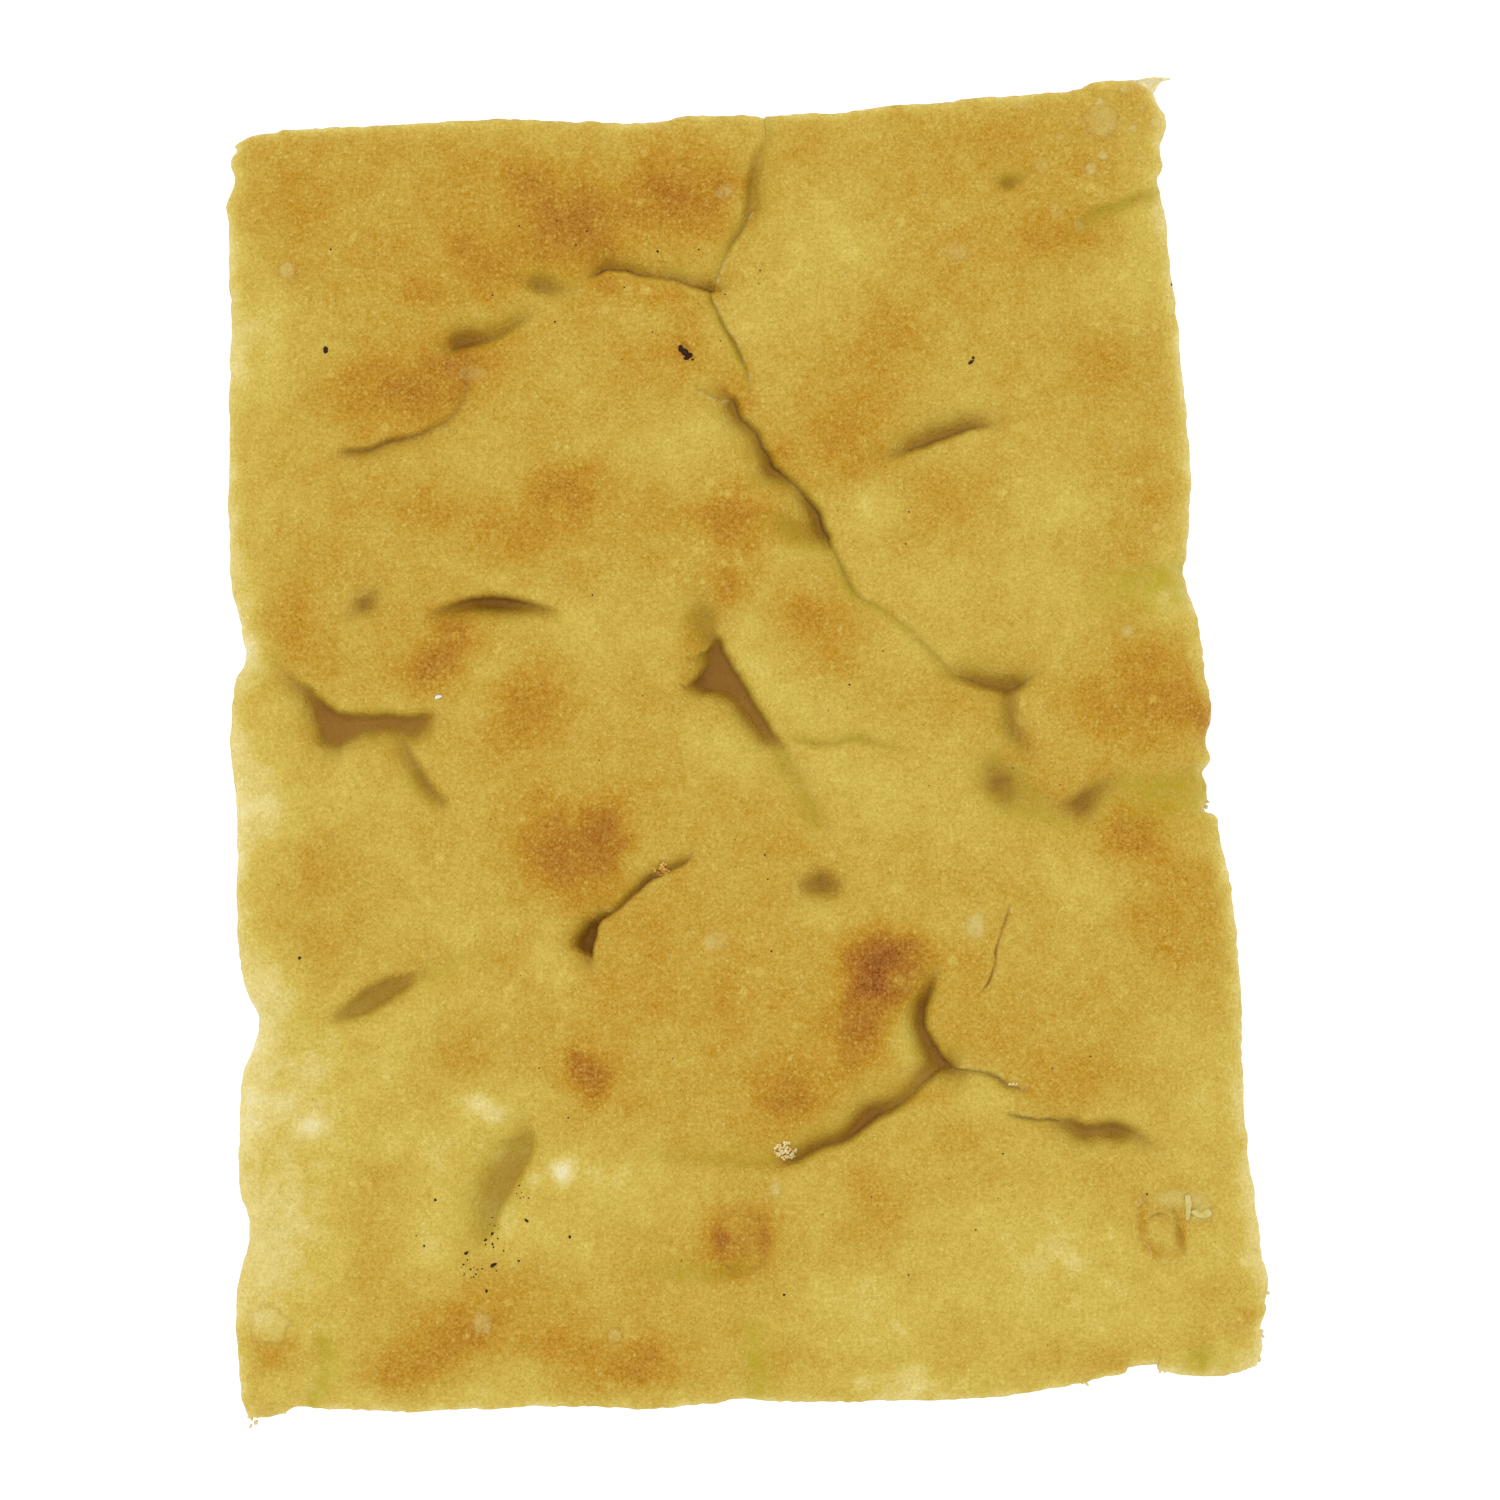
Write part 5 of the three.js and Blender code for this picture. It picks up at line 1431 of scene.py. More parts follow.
@dataclass
class TopCrust:
    """The top crust: fine mesh over the whole slab, finer still in its folds and at its rim.

    Below its rim it is as thick as a crust, runs in under itself along the shelf's insets and ends in
    a hidden floor at the height `under`.
    """

    slab: Slab
    columns: int = 150
    rows: int = 190
    sharp: float = 1.3
    # How near a fold's floor and how near the rim cells are halved, once for each pair.
    finer: tuple[tuple[float, float], ...] = ((2.6, 1.6), (1.15, 0.0))
    thick: float = 0.9
    shelf: tuple[float, ...] = (0.3, 2.0, 4.5, 6.5, 7.5)
    under: float = 7.2

    def _cells(self) -> bmesh.types.BMesh:
        """Return cells over the slab as shares across and along, cut finer near folds and rims."""
        cells = bmesh.new()
        grid = [[cells.verts.new((column / self.columns, row / self.rows, 0))
                 for column in range(self.columns + 1)] for row in range(self.rows + 1)]
        for row in range(self.rows):
            for column in range(self.columns):
                cells.faces.new((grid[row][column], grid[row][column + 1],
                                 grid[row + 1][column + 1], grid[row + 1][column]))
        sharp = [line for line in self.slab.folds.lines if line.fold.steep < self.sharp]
        # Each place that needs fine cells, with how far its own detail reaches.
        points = [row[:3] for line in sharp for row in line.rows[::2]]
        points += [(*Photo.place(bubble.across, bubble.down), max(bubble.wide, bubble.high))
                   for bubble in BUBBLES]
        tree = KDTree(len(points))
        for index, (x, y, _) in enumerate(points):
            tree.insert((float(x), float(y), 0), index)
        tree.balance()
        for reach, rim in self.finer:
            self._cut_finer(cells, tree, [point[2] for point in points], reach, rim)
        return cells

    def _cut_finer(
        self, cells: bmesh.types.BMesh, tree: KDTree, floors: Sequence[float], reach: float,
        rim: float,
    ) -> None:
        """Halve the cells that lie near a fold's line or the rim.

        Args:
            cells: The cells.
            tree: The places of the folds' lines.
            floors: The width of the fold's floor at each place.
            reach: How near the line or its floor a cell has to be, in millimetres.
            rim: How near the rim, in millimetres.
        """
        faces = list(cells.faces)
        middles = np.array([face.calc_center_median()[:2] for face in faces])
        x, y = self.slab.plan(middles[:, 0], middles[:, 1])
        side, end = self.slab.edge_distances(middles[:, 0], middles[:, 1])
        edges = set()
        for face, px, py, rim_distance in zip(faces, x, y, np.minimum(side, end)):
            _, index, distance = tree.find((px, py, 0))
            if distance < reach + floors[index] or rim_distance < rim:
                edges.update(face.edges)
        bmesh.ops.subdivide_edges(cells, edges=list(edges), cuts=1, use_grid_fill=True)

    def make(self) -> bpy.types.Object:
        """Build and dress the crust.

        Returns:
            The piece.
        """
        cells = self._cells()
        cells.verts.index_update()
        shares = np.array([vertex.co[:2] for vertex in cells.verts])
        crusted = self.slab.crusted(shares[:, 0], shares[:, 1])
        rim = self._rim(cells)
        for vertex, x, y, z in zip(cells.verts, crusted.x, crusted.y, crusted.z):
            vertex.co = (x * MM, y * MM, z * MM)
        top_faces = len(cells.faces)
        rings = self._close(cells, rim, shares[rim])
        cells.normal_update()
        mesh = bpy.data.meshes.new("crust_top")
        cells.to_mesh(mesh)
        cells.free()
        for name, values in crusted.looks.items():
            below = np.tile(values[rim], rings)
            set_share(mesh, name, np.concatenate([values, below, [0.0]]))
        self._chart(mesh, top_faces, len(rim), rings)
        return finished_piece("crust_top", mesh, OiledCrust().made(), replaces=True)

    @staticmethod
    def _rim(cells: bmesh.types.BMesh) -> list[int]:
        """Return the points of the rim in order, once round anticlockwise."""
        edge = next(edge for edge in cells.edges if edge.is_boundary)
        face = edge.link_faces[0]
        loop = next(loop for loop in face.loops if loop.edge == edge)
        start, current = loop.vert, loop.link_loop_next.vert
        rim = [start.index]
        previous = edge
        while current != start:
            rim.append(current.index)
            previous = next(e for e in current.link_edges if e.is_boundary and e != previous)
            current = previous.other_vert(current)
        return rim

    def _close(self, cells: bmesh.types.BMesh, rim: Sequence[int], shares: Array) -> int:
        """Close the crust below its rim: a cut edge, a shelf under the crust and a hidden floor.

        Args:
            cells: The crust's mesh.
            rim: The points of its rim, in order.
            shares: Their shares of the way across and along.

        Returns:
            How many rings of points were added.
        """
        cells.verts.ensure_lookup_table()
        rings = [[cells.verts[index] for index in rim]]
        rim_z = np.array([vertex.co.z for vertex in rings[0]]) / MM
        count = len(rim_z)
        for inset in self.shelf:
            under = self.slab.crusted(*self.slab.moved_in(shares[:, 0], shares[:, 1], inset))
            z = np.minimum(rim_z, under.z) - self.thick if inset < self.shelf[-1] else (
                np.full(count, self.under))
            rings.append([cells.verts.new((px * MM, py * MM, pz * MM))
                          for px, py, pz in zip(under.x, under.y, z)])
        for upper, lower in zip(rings, rings[1:]):
            for i in range(count):
                j = (i + 1) % count
                cells.faces.new((upper[j], upper[i], lower[i], lower[j]))
        middle = cells.verts.new((0, 0, self.under * MM))
        for i in range(count):
            cells.faces.new((middle, rings[-1][(i + 1) % count], rings[-1][i]))
        cells.verts.index_update()
        return len(self.shelf)

    @staticmethod
    def _chart(mesh: bpy.types.Mesh, top_faces: int, rim_count: int, rings: int) -> None:
        """Unfold the crust: its top as seen from above, its cut edge in strips beside it.

        Args:
            mesh: The crust.
            top_faces: How many of its faces are the top.
            rim_count: How many points its rim has.
            rings: How many rings of points lie below the rim.
        """
        places = points_of(mesh)
        strip = 0.80
        wide = 0.16 / rings

        def place(points: Array, faces: Array, corner: Array) -> Array:
            """Return u and v of face corners."""
            top = np.column_stack([(places[points, 0] + CHART_MIDDLE[0]) / CHART_SIDE,
                                   (places[points, 1] + CHART_MIDDLE[1]) / CHART_SIDE])
            hidden = faces - top_faces
            ring = hidden // rim_count
            along = (hidden % rim_count + np.where((corner == 0) | (corner == 3), 1, 0)) / rim_count
            across = strip + wide * (ring + 0.9 * (corner >= 2))
            walls = np.column_stack([across, 0.01 + 0.98 * along])
            spoke = hidden % rim_count + (corner == 1)
            fan = np.column_stack([0.965 + 0.025 * (corner > 0), 0.01 + 0.98 * spoke / rim_count])
            chart = np.where((hidden < 0)[:, None], top, walls)
            return np.where((hidden >= rings * rim_count)[:, None], fan, chart)

        set_chart(mesh, place)


@dataclass
class CrumbWalls:
    """The four cut sides: crumb with cells open to the cut, between the two crusts.

    The wall goes in by `inset` and by `waist` more at half its height. Under the top crust it runs in
    along the shelf's insets to a hidden floor at the height `under`.
    """

    slab: Slab
    step: float = 0.40
    rows: int = 42
    base_rim: float = 1.0
    waist: float = 0.6
    inset: float = 0.35
    below_rim: float = 0.55
    shelf: tuple[float, ...] = (1.6, 4.5, 6.5, 7.5)
    under: float = 6.8
    deepest: float = 3.0
    rough: Parts = ((0.20, 0.9, 70), (0.16, 1.7, 71), (0.28, 4.0, 72))
    # How many cells of each kind, and the smallest and largest of their half widths.
    kinds: tuple[tuple[int, float, float], ...] = (
        (3600, 0.40, 0.70), (900, 0.65, 1.20), (190, 1.1, 2.0), (34, 1.9, 3.4))
    # The least and most height, width and depth of a cell for its half width, and its lean.
    flatness: tuple[float, float] = (0.55, 0.95)
    stretch: tuple[float, float] = (0.9, 1.6)
    depths: tuple[float, float] = (0.7, 1.25)
    most_lean: float = 0.5
    least_tall: float = 0.35
    seed: int = 7

    def _outline(self) -> tuple[Array, Array]:
        """Walk round the cut.

        Returns:
            The shares across and along of the outline's points anticlockwise, one row each, and
            the distance of each to the nearest corner.
        """
        pieces = []
        for name, forward in (("bottom", True), ("right", True), ("top", False), ("left", False)):
            edge = self.slab.edges[name]
            count = int(edge.length / self.step)
            share = np.linspace(0, 1, count, endpoint=False)
            share = share if forward else 1 - share
            other = np.full(count, 1.0 if name in ("right", "top") else 0.0)
            across, along = (share, other) if name in ("bottom", "top") else (other, share)
            corner = np.minimum(share, 1 - share) * edge.length
            pieces.append(np.column_stack([across, along, corner]))
        rows = np.vstack(pieces)
        return rows[:, :2], rows[:, 2]

    @staticmethod
    def _inward(points: Array) -> Array:
        """Return the direction into the slab at each point of the outline."""
        wide = 6
        tangent = np.roll(points, -wide, 0) - np.roll(points, wide, 0)
        tangent /= np.maximum(np.hypot(tangent[:, 0], tangent[:, 1]), 1e-9)[:, None]
        return np.column_stack([-tangent[:, 1], tangent[:, 0]])

    def _carved(self, top: Array, corner: Array) -> Array:
        """Carve the open cells.

        Args:
            top: The height of the crumb's top at each column.
            corner: The distance of each column to the nearest corner.

        Returns:
            How far each point of the wall is carved inward, one row for each height.
        """
        random = np.random.default_rng(self.seed)
        count = len(top)
        depth = np.zeros((self.rows + 1, count))
        share = np.linspace(0, 1, self.rows + 1)
        heights = self.base_rim + share[:, None] * (top - self.base_rim)[None, :]
        for number, smallest, largest in self.kinds:
            for _ in range(number):
                column = random.integers(count)
                middle = random.beta(1.25, 1.25)
                size = smallest + (largest - smallest) * random.random() ** 2
                room = (top[column] - self.base_rim) * min(middle, 1 - middle)
                tall = min(size * random.uniform(*self.flatness), max(room, self.least_tall))
                wide = size * random.uniform(*self.stretch)
                deep = size * random.uniform(*self.depths) * min(1.0, 0.25 + corner[column] / 6)
                lean = random.uniform(-self.most_lean, self.most_lean)
                span = int(1.3 * wide / self.step) + 1
                columns = np.arange(column - span, column + span + 1) % count
                offset = (np.arange(-span, span + 1) * self.step / wide)[None, :]
                level = self.base_rim + middle * (top[column] - self.base_rim)
                rise = (heights[:, columns] - level) / tall - lean * offset
                hollow = deep * np.maximum(1 - offset ** 2 - rise ** 2, 0) ** 0.4
                depth[:, columns] = np.maximum(depth[:, columns], hollow)
        return self.deepest * np.tanh(depth / self.deepest)

    def make(self) -> bpy.types.Object:
        """Build and dress the crumb.

        Returns:
            The piece.
        """
        shares, corner = self._outline()
        rim = self.slab.crusted(shares[:, 0], shares[:, 1])
        points = np.column_stack([rim.x, rim.y])
        inward = self._inward(points)
        top = rim.z - self.below_rim
        carved = self._carved(top, corner)
        count = len(points)
        along = np.arange(count) * self.step
        floor = np.full(count, self.base_rim + 0.1)
        inner = self.slab.crusted(*self.slab.moved_in(shares[:, 0], shares[:, 1], self.shelf[-1]))
        verts = [np.column_stack([inner.x, inner.y, floor])]
        hollow, crusty = [np.zeros(count)], [np.full(count, 0.5)]
        for row, height_share in enumerate(np.linspace(0, 1, self.rows + 1)):
            z = self.base_rim + height_share * (top - self.base_rim)
            waist = self.inset + self.waist * math.sin(math.pi * height_share)
            rough = blended(along, z, self.rough) * math.sin(math.pi * height_share) ** 0.5
            into = waist + carved[row] + rough
            verts.append(np.column_stack([points + inward * into[:, None], z]))
            # The deeper a cell is carved, the more painted shade it gets.
            hollow.append(np.clip(carved[row] / 2.0, 0, 1))
            near_crust = np.maximum(np.exp(-(top - z) / 1.0), np.exp(-(z - self.base_rim) / 0.8))
            crusty.append(0.8 * near_crust)
        for inset in self.shelf:
            under = self.slab.crusted(*self.slab.moved_in(shares[:, 0], shares[:, 1], inset))
            z = np.minimum(top - 0.1, under.z - 1.7) if inset < self.shelf[-1] else (
                np.full(count, self.under))
            verts.append(np.column_stack([under.x, under.y, z]))
            hollow.append(np.zeros(count))
            crusty.append(np.full(count, 0.5))
        rings = len(verts)
        middle_low, middle_high = rings * count, rings * count + 1
        places = np.vstack([*verts, [[0, 0, floor[0]]], [[0, 0, self.under]]])
        faces = []
        for ring in range(rings - 1):
            faces += band(ring * count, (ring + 1) * count, count)
        last = (rings - 1) * count
        for i in range(count):
            j = (i + 1) % count
            faces.append((middle_low, j, i))
            faces.append((middle_high, last + i, last + j))
        mesh = bpy.data.meshes.new("crumb")
        mesh.from_pydata([tuple(row) for row in places * MM], [], faces)
        set_share(mesh, "hollow", np.concatenate([*hollow, [0, 0]]))
        set_share(mesh, "crusty", np.concatenate([*crusty, [0.5, 0.5]]))
        self._chart(mesh, count, rings)
        return finished_piece("crumb", mesh, OpenCrumb().made(), replaces=True)

    def _chart(self, mesh: bpy.types.Mesh, count: int, rings: int) -> None:
        """Unfold the crumb: the four cut sides one above the other.

        Args:
            mesh: The crumb.
            count: How many columns it has.
            rings: How many rings of points it has.
        """
        per_strip = math.ceil(count / 4)
        walls = (rings - 1) * count

        def place(points: Array, faces: Array, corner: Array) -> Array:
            """Return u and v of face corners."""
            column = faces % count
            step = np.where((corner == 1) | (corner == 2), 1, 0)
            ring = faces // count + np.where(corner >= 2, 1, 0)
            strip = column // per_strip
            u = 0.01 + 0.98 * (column - strip * per_strip + step) / per_strip
            v = 0.01 + 0.2 * strip + 0.185 * ring / rings
            walls_chart = np.column_stack([u, v])
            spoke = (faces - walls) // 2
            side = (faces - walls) % 2
            u = 0.02 + 0.45 * side + 0.4 * (spoke + (corner == 2)) / count
            v = 0.84 + 0.1 * (corner > 0)
            fans = np.column_stack([u, v])
            return np.where((faces >= walls)[:, None], fans, walls_chart)

        set_chart(mesh, place)


@dataclass
class BaseCrust:
    """The bottom crust: flat where it lay on the tray, with shallow pits, and a low rim.

    It lies `inset` inside the outline, with a bevel so tall and so wide, and its top is tucked in
    under the crumb at the height `rim`. All are in millimetres.
    """

    slab: Slab
    columns: int = 150
    rows: int = 190
    rim: float = 1.2
    rim_fade: float = 1.2
    rim_share: float = 0.8
    tucks: tuple[float, ...] = (0.2, 1.8)
    inset: float = 0.5
    half_width: float = 70.0
    half_length: float = 90.0
    # Pits of two sizes: how deep, how wide a bump of their pattern is, and how much of it is cut off.
    pits: tuple[tuple[float, float, float], ...] = ((0.5, 2.6, 0.35), (0.7, 7.0, 0.45))
    bevel_tall: float = 0.45
    bevel_wide: float = 0.9
    seed: int = 23

    def make(self) -> bpy.types.Object:
        """Build and dress the base.

        Returns:
            The piece.
        """
        across, along = np.meshgrid(np.linspace(0, 1, self.columns + 1),
                                    np.linspace(0, 1, self.rows + 1))
        x, y = self.slab.plan(across.ravel(), along.ravel())
        side, end = self.slab.edge_distances(across.ravel(), along.ravel())
        near = np.minimum(side, end)
        x, y = x * (1 - self.inset / self.half_width), y * (1 - self.inset / self.half_length)
        pits = sum(deep * np.clip(unevenness(x, y, size, self.seed + number) - cut, 0, 1)
                   for number, (deep, size, cut) in enumerate(self.pits))
        z = pits * np.clip(near / 2, 0, 1) + self.bevel_tall * bell(near, self.bevel_wide)
        verts = [(px * MM, py * MM, pz * MM) for px, py, pz in zip(x, y, z)]
        faces = []
        width = self.columns + 1
        for row in range(self.rows):
            for column in range(self.columns):
                low = row * width + column
                faces.append((low, low + width, low + width + 1, low + 1))
        rim = (list(range(self.columns))
               + [r * width + self.columns for r in range(self.rows)]
               + [self.rows * width + c for c in range(self.columns, 0, -1)]
               + [r * width for r in range(self.rows, 0, -1)])
        shares = list(0.5 * bell(near, self.rim_fade))
        first = len(verts)
        for tuck in self.tucks:
            for index in rim:
                px, py, _ = verts[index]
                keep = 1 - tuck * MM / max(math.hypot(px, py), 1e-6)
                verts.append((px * keep, py * keep, self.rim * MM))
                shares.append(self.rim_share)
        count = len(rim)
        for i in range(count):
            j = (i + 1) % count
            faces.append((rim[i], rim[j], first + j, first + i))
            faces.append((first + i, first + j, first + count + j, first + count + i))
        middle = len(verts)
        verts.append((0, 0, self.rim * MM))
        shares.append(self.rim_share)
        for i in range(count):
            faces.append((middle, first + count + i, first + count + (i + 1) % count))
        mesh = bpy.data.meshes.new("crust_base")
        mesh.from_pydata(verts, [], faces)
        set_share(mesh, "rim", np.array(shares))
        self._chart(mesh, self.columns * self.rows, count)
        return finished_piece("crust_base", mesh, PanCrust().made(), replaces=True)

    @staticmethod
    def _chart(mesh: bpy.types.Mesh, flat_faces: int, count: int) -> None:
        """Unfold the base as seen from below, with its rim in a strip beside it.

        Args:
            mesh: The base.
            flat_faces: How many of its faces lie on the tray.
            count: How many points its rim has.
        """
        places = points_of(mesh)

        def place(points: Array, faces: Array, corner: Array) -> Array:
            """Return u and v of face corners."""
            flat = np.column_stack([(CHART_MIDDLE[0] - places[points, 0]) / CHART_SIDE,
                                    (places[points, 1] + CHART_MIDDLE[1]) / CHART_SIDE])
            hidden = faces - flat_faces
            column = hidden // 2
            ring = hidden % 2
            along = (column + np.where((corner == 1) | (corner == 2), 1, 0)) / count
            walls = np.column_stack([0.80 + 0.05 * ring + 0.045 * (corner >= 2), 0.01 + 0.98 * along])
            spoke = hidden - 2 * count
            fan = np.column_stack([0.92 + 0.05 * (corner > 0),
                                   0.01 + 0.98 * (spoke + (corner == 2)) / count])
            chart = np.where((hidden < 0)[:, None], flat, walls)
            return np.where((hidden >= 2 * count)[:, None], fan, chart)

        set_chart(mesh, place)


# ---- Loose bits ----


@dataclass(frozen=True)
class Spot:
    """A place for a loose bit, in the photograph's pixels, with half sizes in millimetres."""

    across: float
    down: float
    wide: float
    high: float
    turn: float = 0.0
    count: int = 1


def spots(*rows: tuple[float, ...]) -> tuple[Spot, ...]:
    """Return the spots whose values the rows hold."""
    return tuple(Spot(*row) for row in rows)


PALE_CRUMBS = spots((785, 1149, 1.5, 1.2, -20, 84), (1012, 1082, 0.9, 0.2, -10, 8))
TOASTED_CRUMBS = spots((662, 869, 1.1, 0.9, 20, 34))
SALT_GRAINS = spots((440, 697, 0.42, 0.28, 15))
SCORCHED = spots(
    (328, 352, 0.28, 0.55, 5), (685, 354, 0.75, 0.45, -40), (690, 358, 0.55, 0.3, 25),
    (681, 351, 0.35, 0.4), (687, 361, 0.3, 0.25), (693, 362, 0.16, 0.14), (970, 364, 0.42, 0.26, 40),
    (972, 360, 0.2, 0.2), (302, 957, 0.2, 0.22), (784, 1292, 0.18, 0.16), (495, 1262, 0.42, 0.22, 30),
    (468, 1250.5, 0.34, 0.2, 35), (494, 1232, 0.22, 0.18), (487, 1238, 0.2, 0.22),
    (487, 1242, 0.1, 0.14), (527.5, 1218, 0.38, 0.14, -40), (520.5, 1184, 0.24, 0.14),
    (437, 1197.5, 0.18, 0.18), (426, 1243, 0.14, 0.16), (418, 1233, 0.1, 0.1), (488, 1288, 0.18, 0.18),
    (520, 1258, 0.16, 0.16), (571, 1234, 0.16, 0.2), (569, 1116, 0.1, 0.12), (1145, 1192, 0.14, 0.14),
    (1171, 285, 0.14, 0.18), (530, 1196, 0.1, 0.1), (505, 1248, 0.1, 0.12), (600, 760, 0.1, 0.1),
    (905, 545, 0.1, 0.1), (1012, 768, 0.1, 0.1), (498, 1268, 0.12, 0.1), (469, 1257, 0.1, 0.12),
    (496, 1224, 0.14, 0.1), (658, 254, 0.14, 0.14), (699, 252, 0.12, 0.12), (577, 248, 0.14, 0.12),
)
PINHOLES = spots(
    (474, 1266, 1.8, 1.2, 0, 14), (495, 1230, 1.6, 2.4, 20, 10), (520, 1190, 1.6, 1.0, 0, 5),
    (760, 900, 55, 60, 0, 40), (600, 300, 40, 20, 0, 16),
)
FRINGE = spots(
    (251, 1421, 0.6, 0.9, 10, 7), (262, 1417, 0.7, 0.4, 0, 5), (280, 1415, 0.5, 0.3, 0, 4),
    (380, 1411, 0.4, 0.4, 0, 4), (445, 1409, 0.4, 0.25, 0, 3), (640, 1407, 0.6, 0.3, 0, 4),
    (1085, 1384, 0.5, 0.3, 10, 4), (1165, 1373, 0.6, 0.5, 0, 8), (1185, 1374, 1.2, 0.4, 0, 12),
    (1212, 1375, 1.2, 0.4, 0, 12), (1240, 1370, 1.2, 0.4, 10, 12), (1258, 1362, 0.5, 0.7, 0, 8),
    (1262, 1335, 0.3, 0.7, 0, 6), (1267, 1292, 0.3, 0.9, 0, 7), (262, 1030, 0.35, 2.2, -8, 22),
    (236, 165, 0.3, 0.8, 0, 6), (262, 136, 0.8, 0.25, 0, 6), (1208, 800, 0.25, 1.0, 0, 8),
)


@dataclass
class LooseBits:
    """Small lumps strewn on the crust or hanging at the cut, all of one kind in one piece.

    `lump` is the middling half size of the lumps of a heap, in millimetres, `flat` how high a lone
    bit is for its width, and `sunk` the share of a lump's half height that is below the crust. Lumps
    with a `level` hang about that height.
    """

    slab: Slab
    name: str
    spots: tuple[Spot, ...]
    finish: DryBit
    lump: float
    seed: int
    flat: float = 0.8
    sunk: float = 0.25
    level: float | None = None

    def make(self) -> bpy.types.Object:
        """Build and dress the bits.

        Returns:
            The piece.
        """
        random = np.random.default_rng(self.seed)
        lumps = []
        for spot in self.spots:
            middle_x, middle_y = Photo.place(spot.across, spot.down)
            turn = math.radians(spot.turn)
            single = spot.count == 1
            heaped = spot.count * self.lump ** 2 > spot.wide * spot.high
            for _ in range(spot.count):
                reach = 0.0 if single else random.random() ** 0.6
                angle = random.uniform(0, 2 * math.pi)
                dx, dy = spot.wide * reach * math.cos(angle), spot.high * reach * math.sin(angle)
                x = float(middle_x) + dx * math.cos(turn) - dy * math.sin(turn)
                y = float(middle_y) + dx * math.sin(turn) + dy * math.cos(turn)
                if single:
                    half = (spot.wide, spot.high, self.flat * min(spot.wide, spot.high))
                else:
                    size = self.lump * random.uniform(0.6, 1.4)
                    half = (size, size * random.uniform(0.6, 1.0), size * random.uniform(0.5, 0.9))
                pile = 0.7 * self.lump * spot.count ** 0.33 * (1 - reach) if heaped else 0.0
                lumps.append((x, y, half, turn if single else angle, pile))
        places = np.array([lump[:2] for lump in lumps])
        if self.level is None:
            ground = self.slab.height_at(places[:, 0], places[:, 1])
        else:
            ground = self.level + random.uniform(-3.0, 1.5, len(lumps))
        built = bmesh.new()
        for (x, y, half, turn, pile), under in zip(lumps, ground):
            z = float(under) + half[2] * (1 - self.sunk) + pile
            self._lump(built, (x, y, z), half, turn, random)
        mesh = bpy.data.meshes.new(self.name)
        built.to_mesh(mesh)
        built.free()
        return finished_piece(self.name, mesh, self.finish.made())

    @staticmethod
    def _lump(
        built: bmesh.types.BMesh, middle: tuple[float, float, float],
        half: tuple[float, float, float], turn: float, random: np.random.Generator,
    ) -> None:
        """Add one uneven lump.

        Args:
            built: The mesh it is added to.
            middle: Its middle, in millimetres.
            half: Its half sizes, in millimetres.
            turn: How far it is turned about the upright, in radians.
            random: Where its unevenness comes from.
        """
        added = bmesh.ops.create_icosphere(built, subdivisions=2, radius=1.0)["verts"]
        phases = random.uniform(0, 2 * math.pi, 6)
        waves = random.uniform(1.5, 4.0, 6)
        for vertex in added:
            x, y, z = vertex.co
            bulge = 1 + 0.16 * math.sin(waves[0] * x + phases[0]) + 0.16 * math.sin(
                waves[1] * y + phases[1]) + 0.14 * math.sin(waves[2] * z * 2 + phases[2])
            bulge += 0.08 * math.sin(waves[3] * 2.5 * x + phases[3]) * math.sin(
                waves[4] * 2.5 * y + phases[4])
            px, py, pz = x * half[0] * bulge, y * half[1] * bulge, z * half[2] * bulge
            vertex.co = (
                (middle[0] + px * math.cos(turn) - py * math.sin(turn)) * MM,
                (middle[1] + px * math.sin(turn) + py * math.cos(turn)) * MM,
                (middle[2] + pz) * MM,
            )


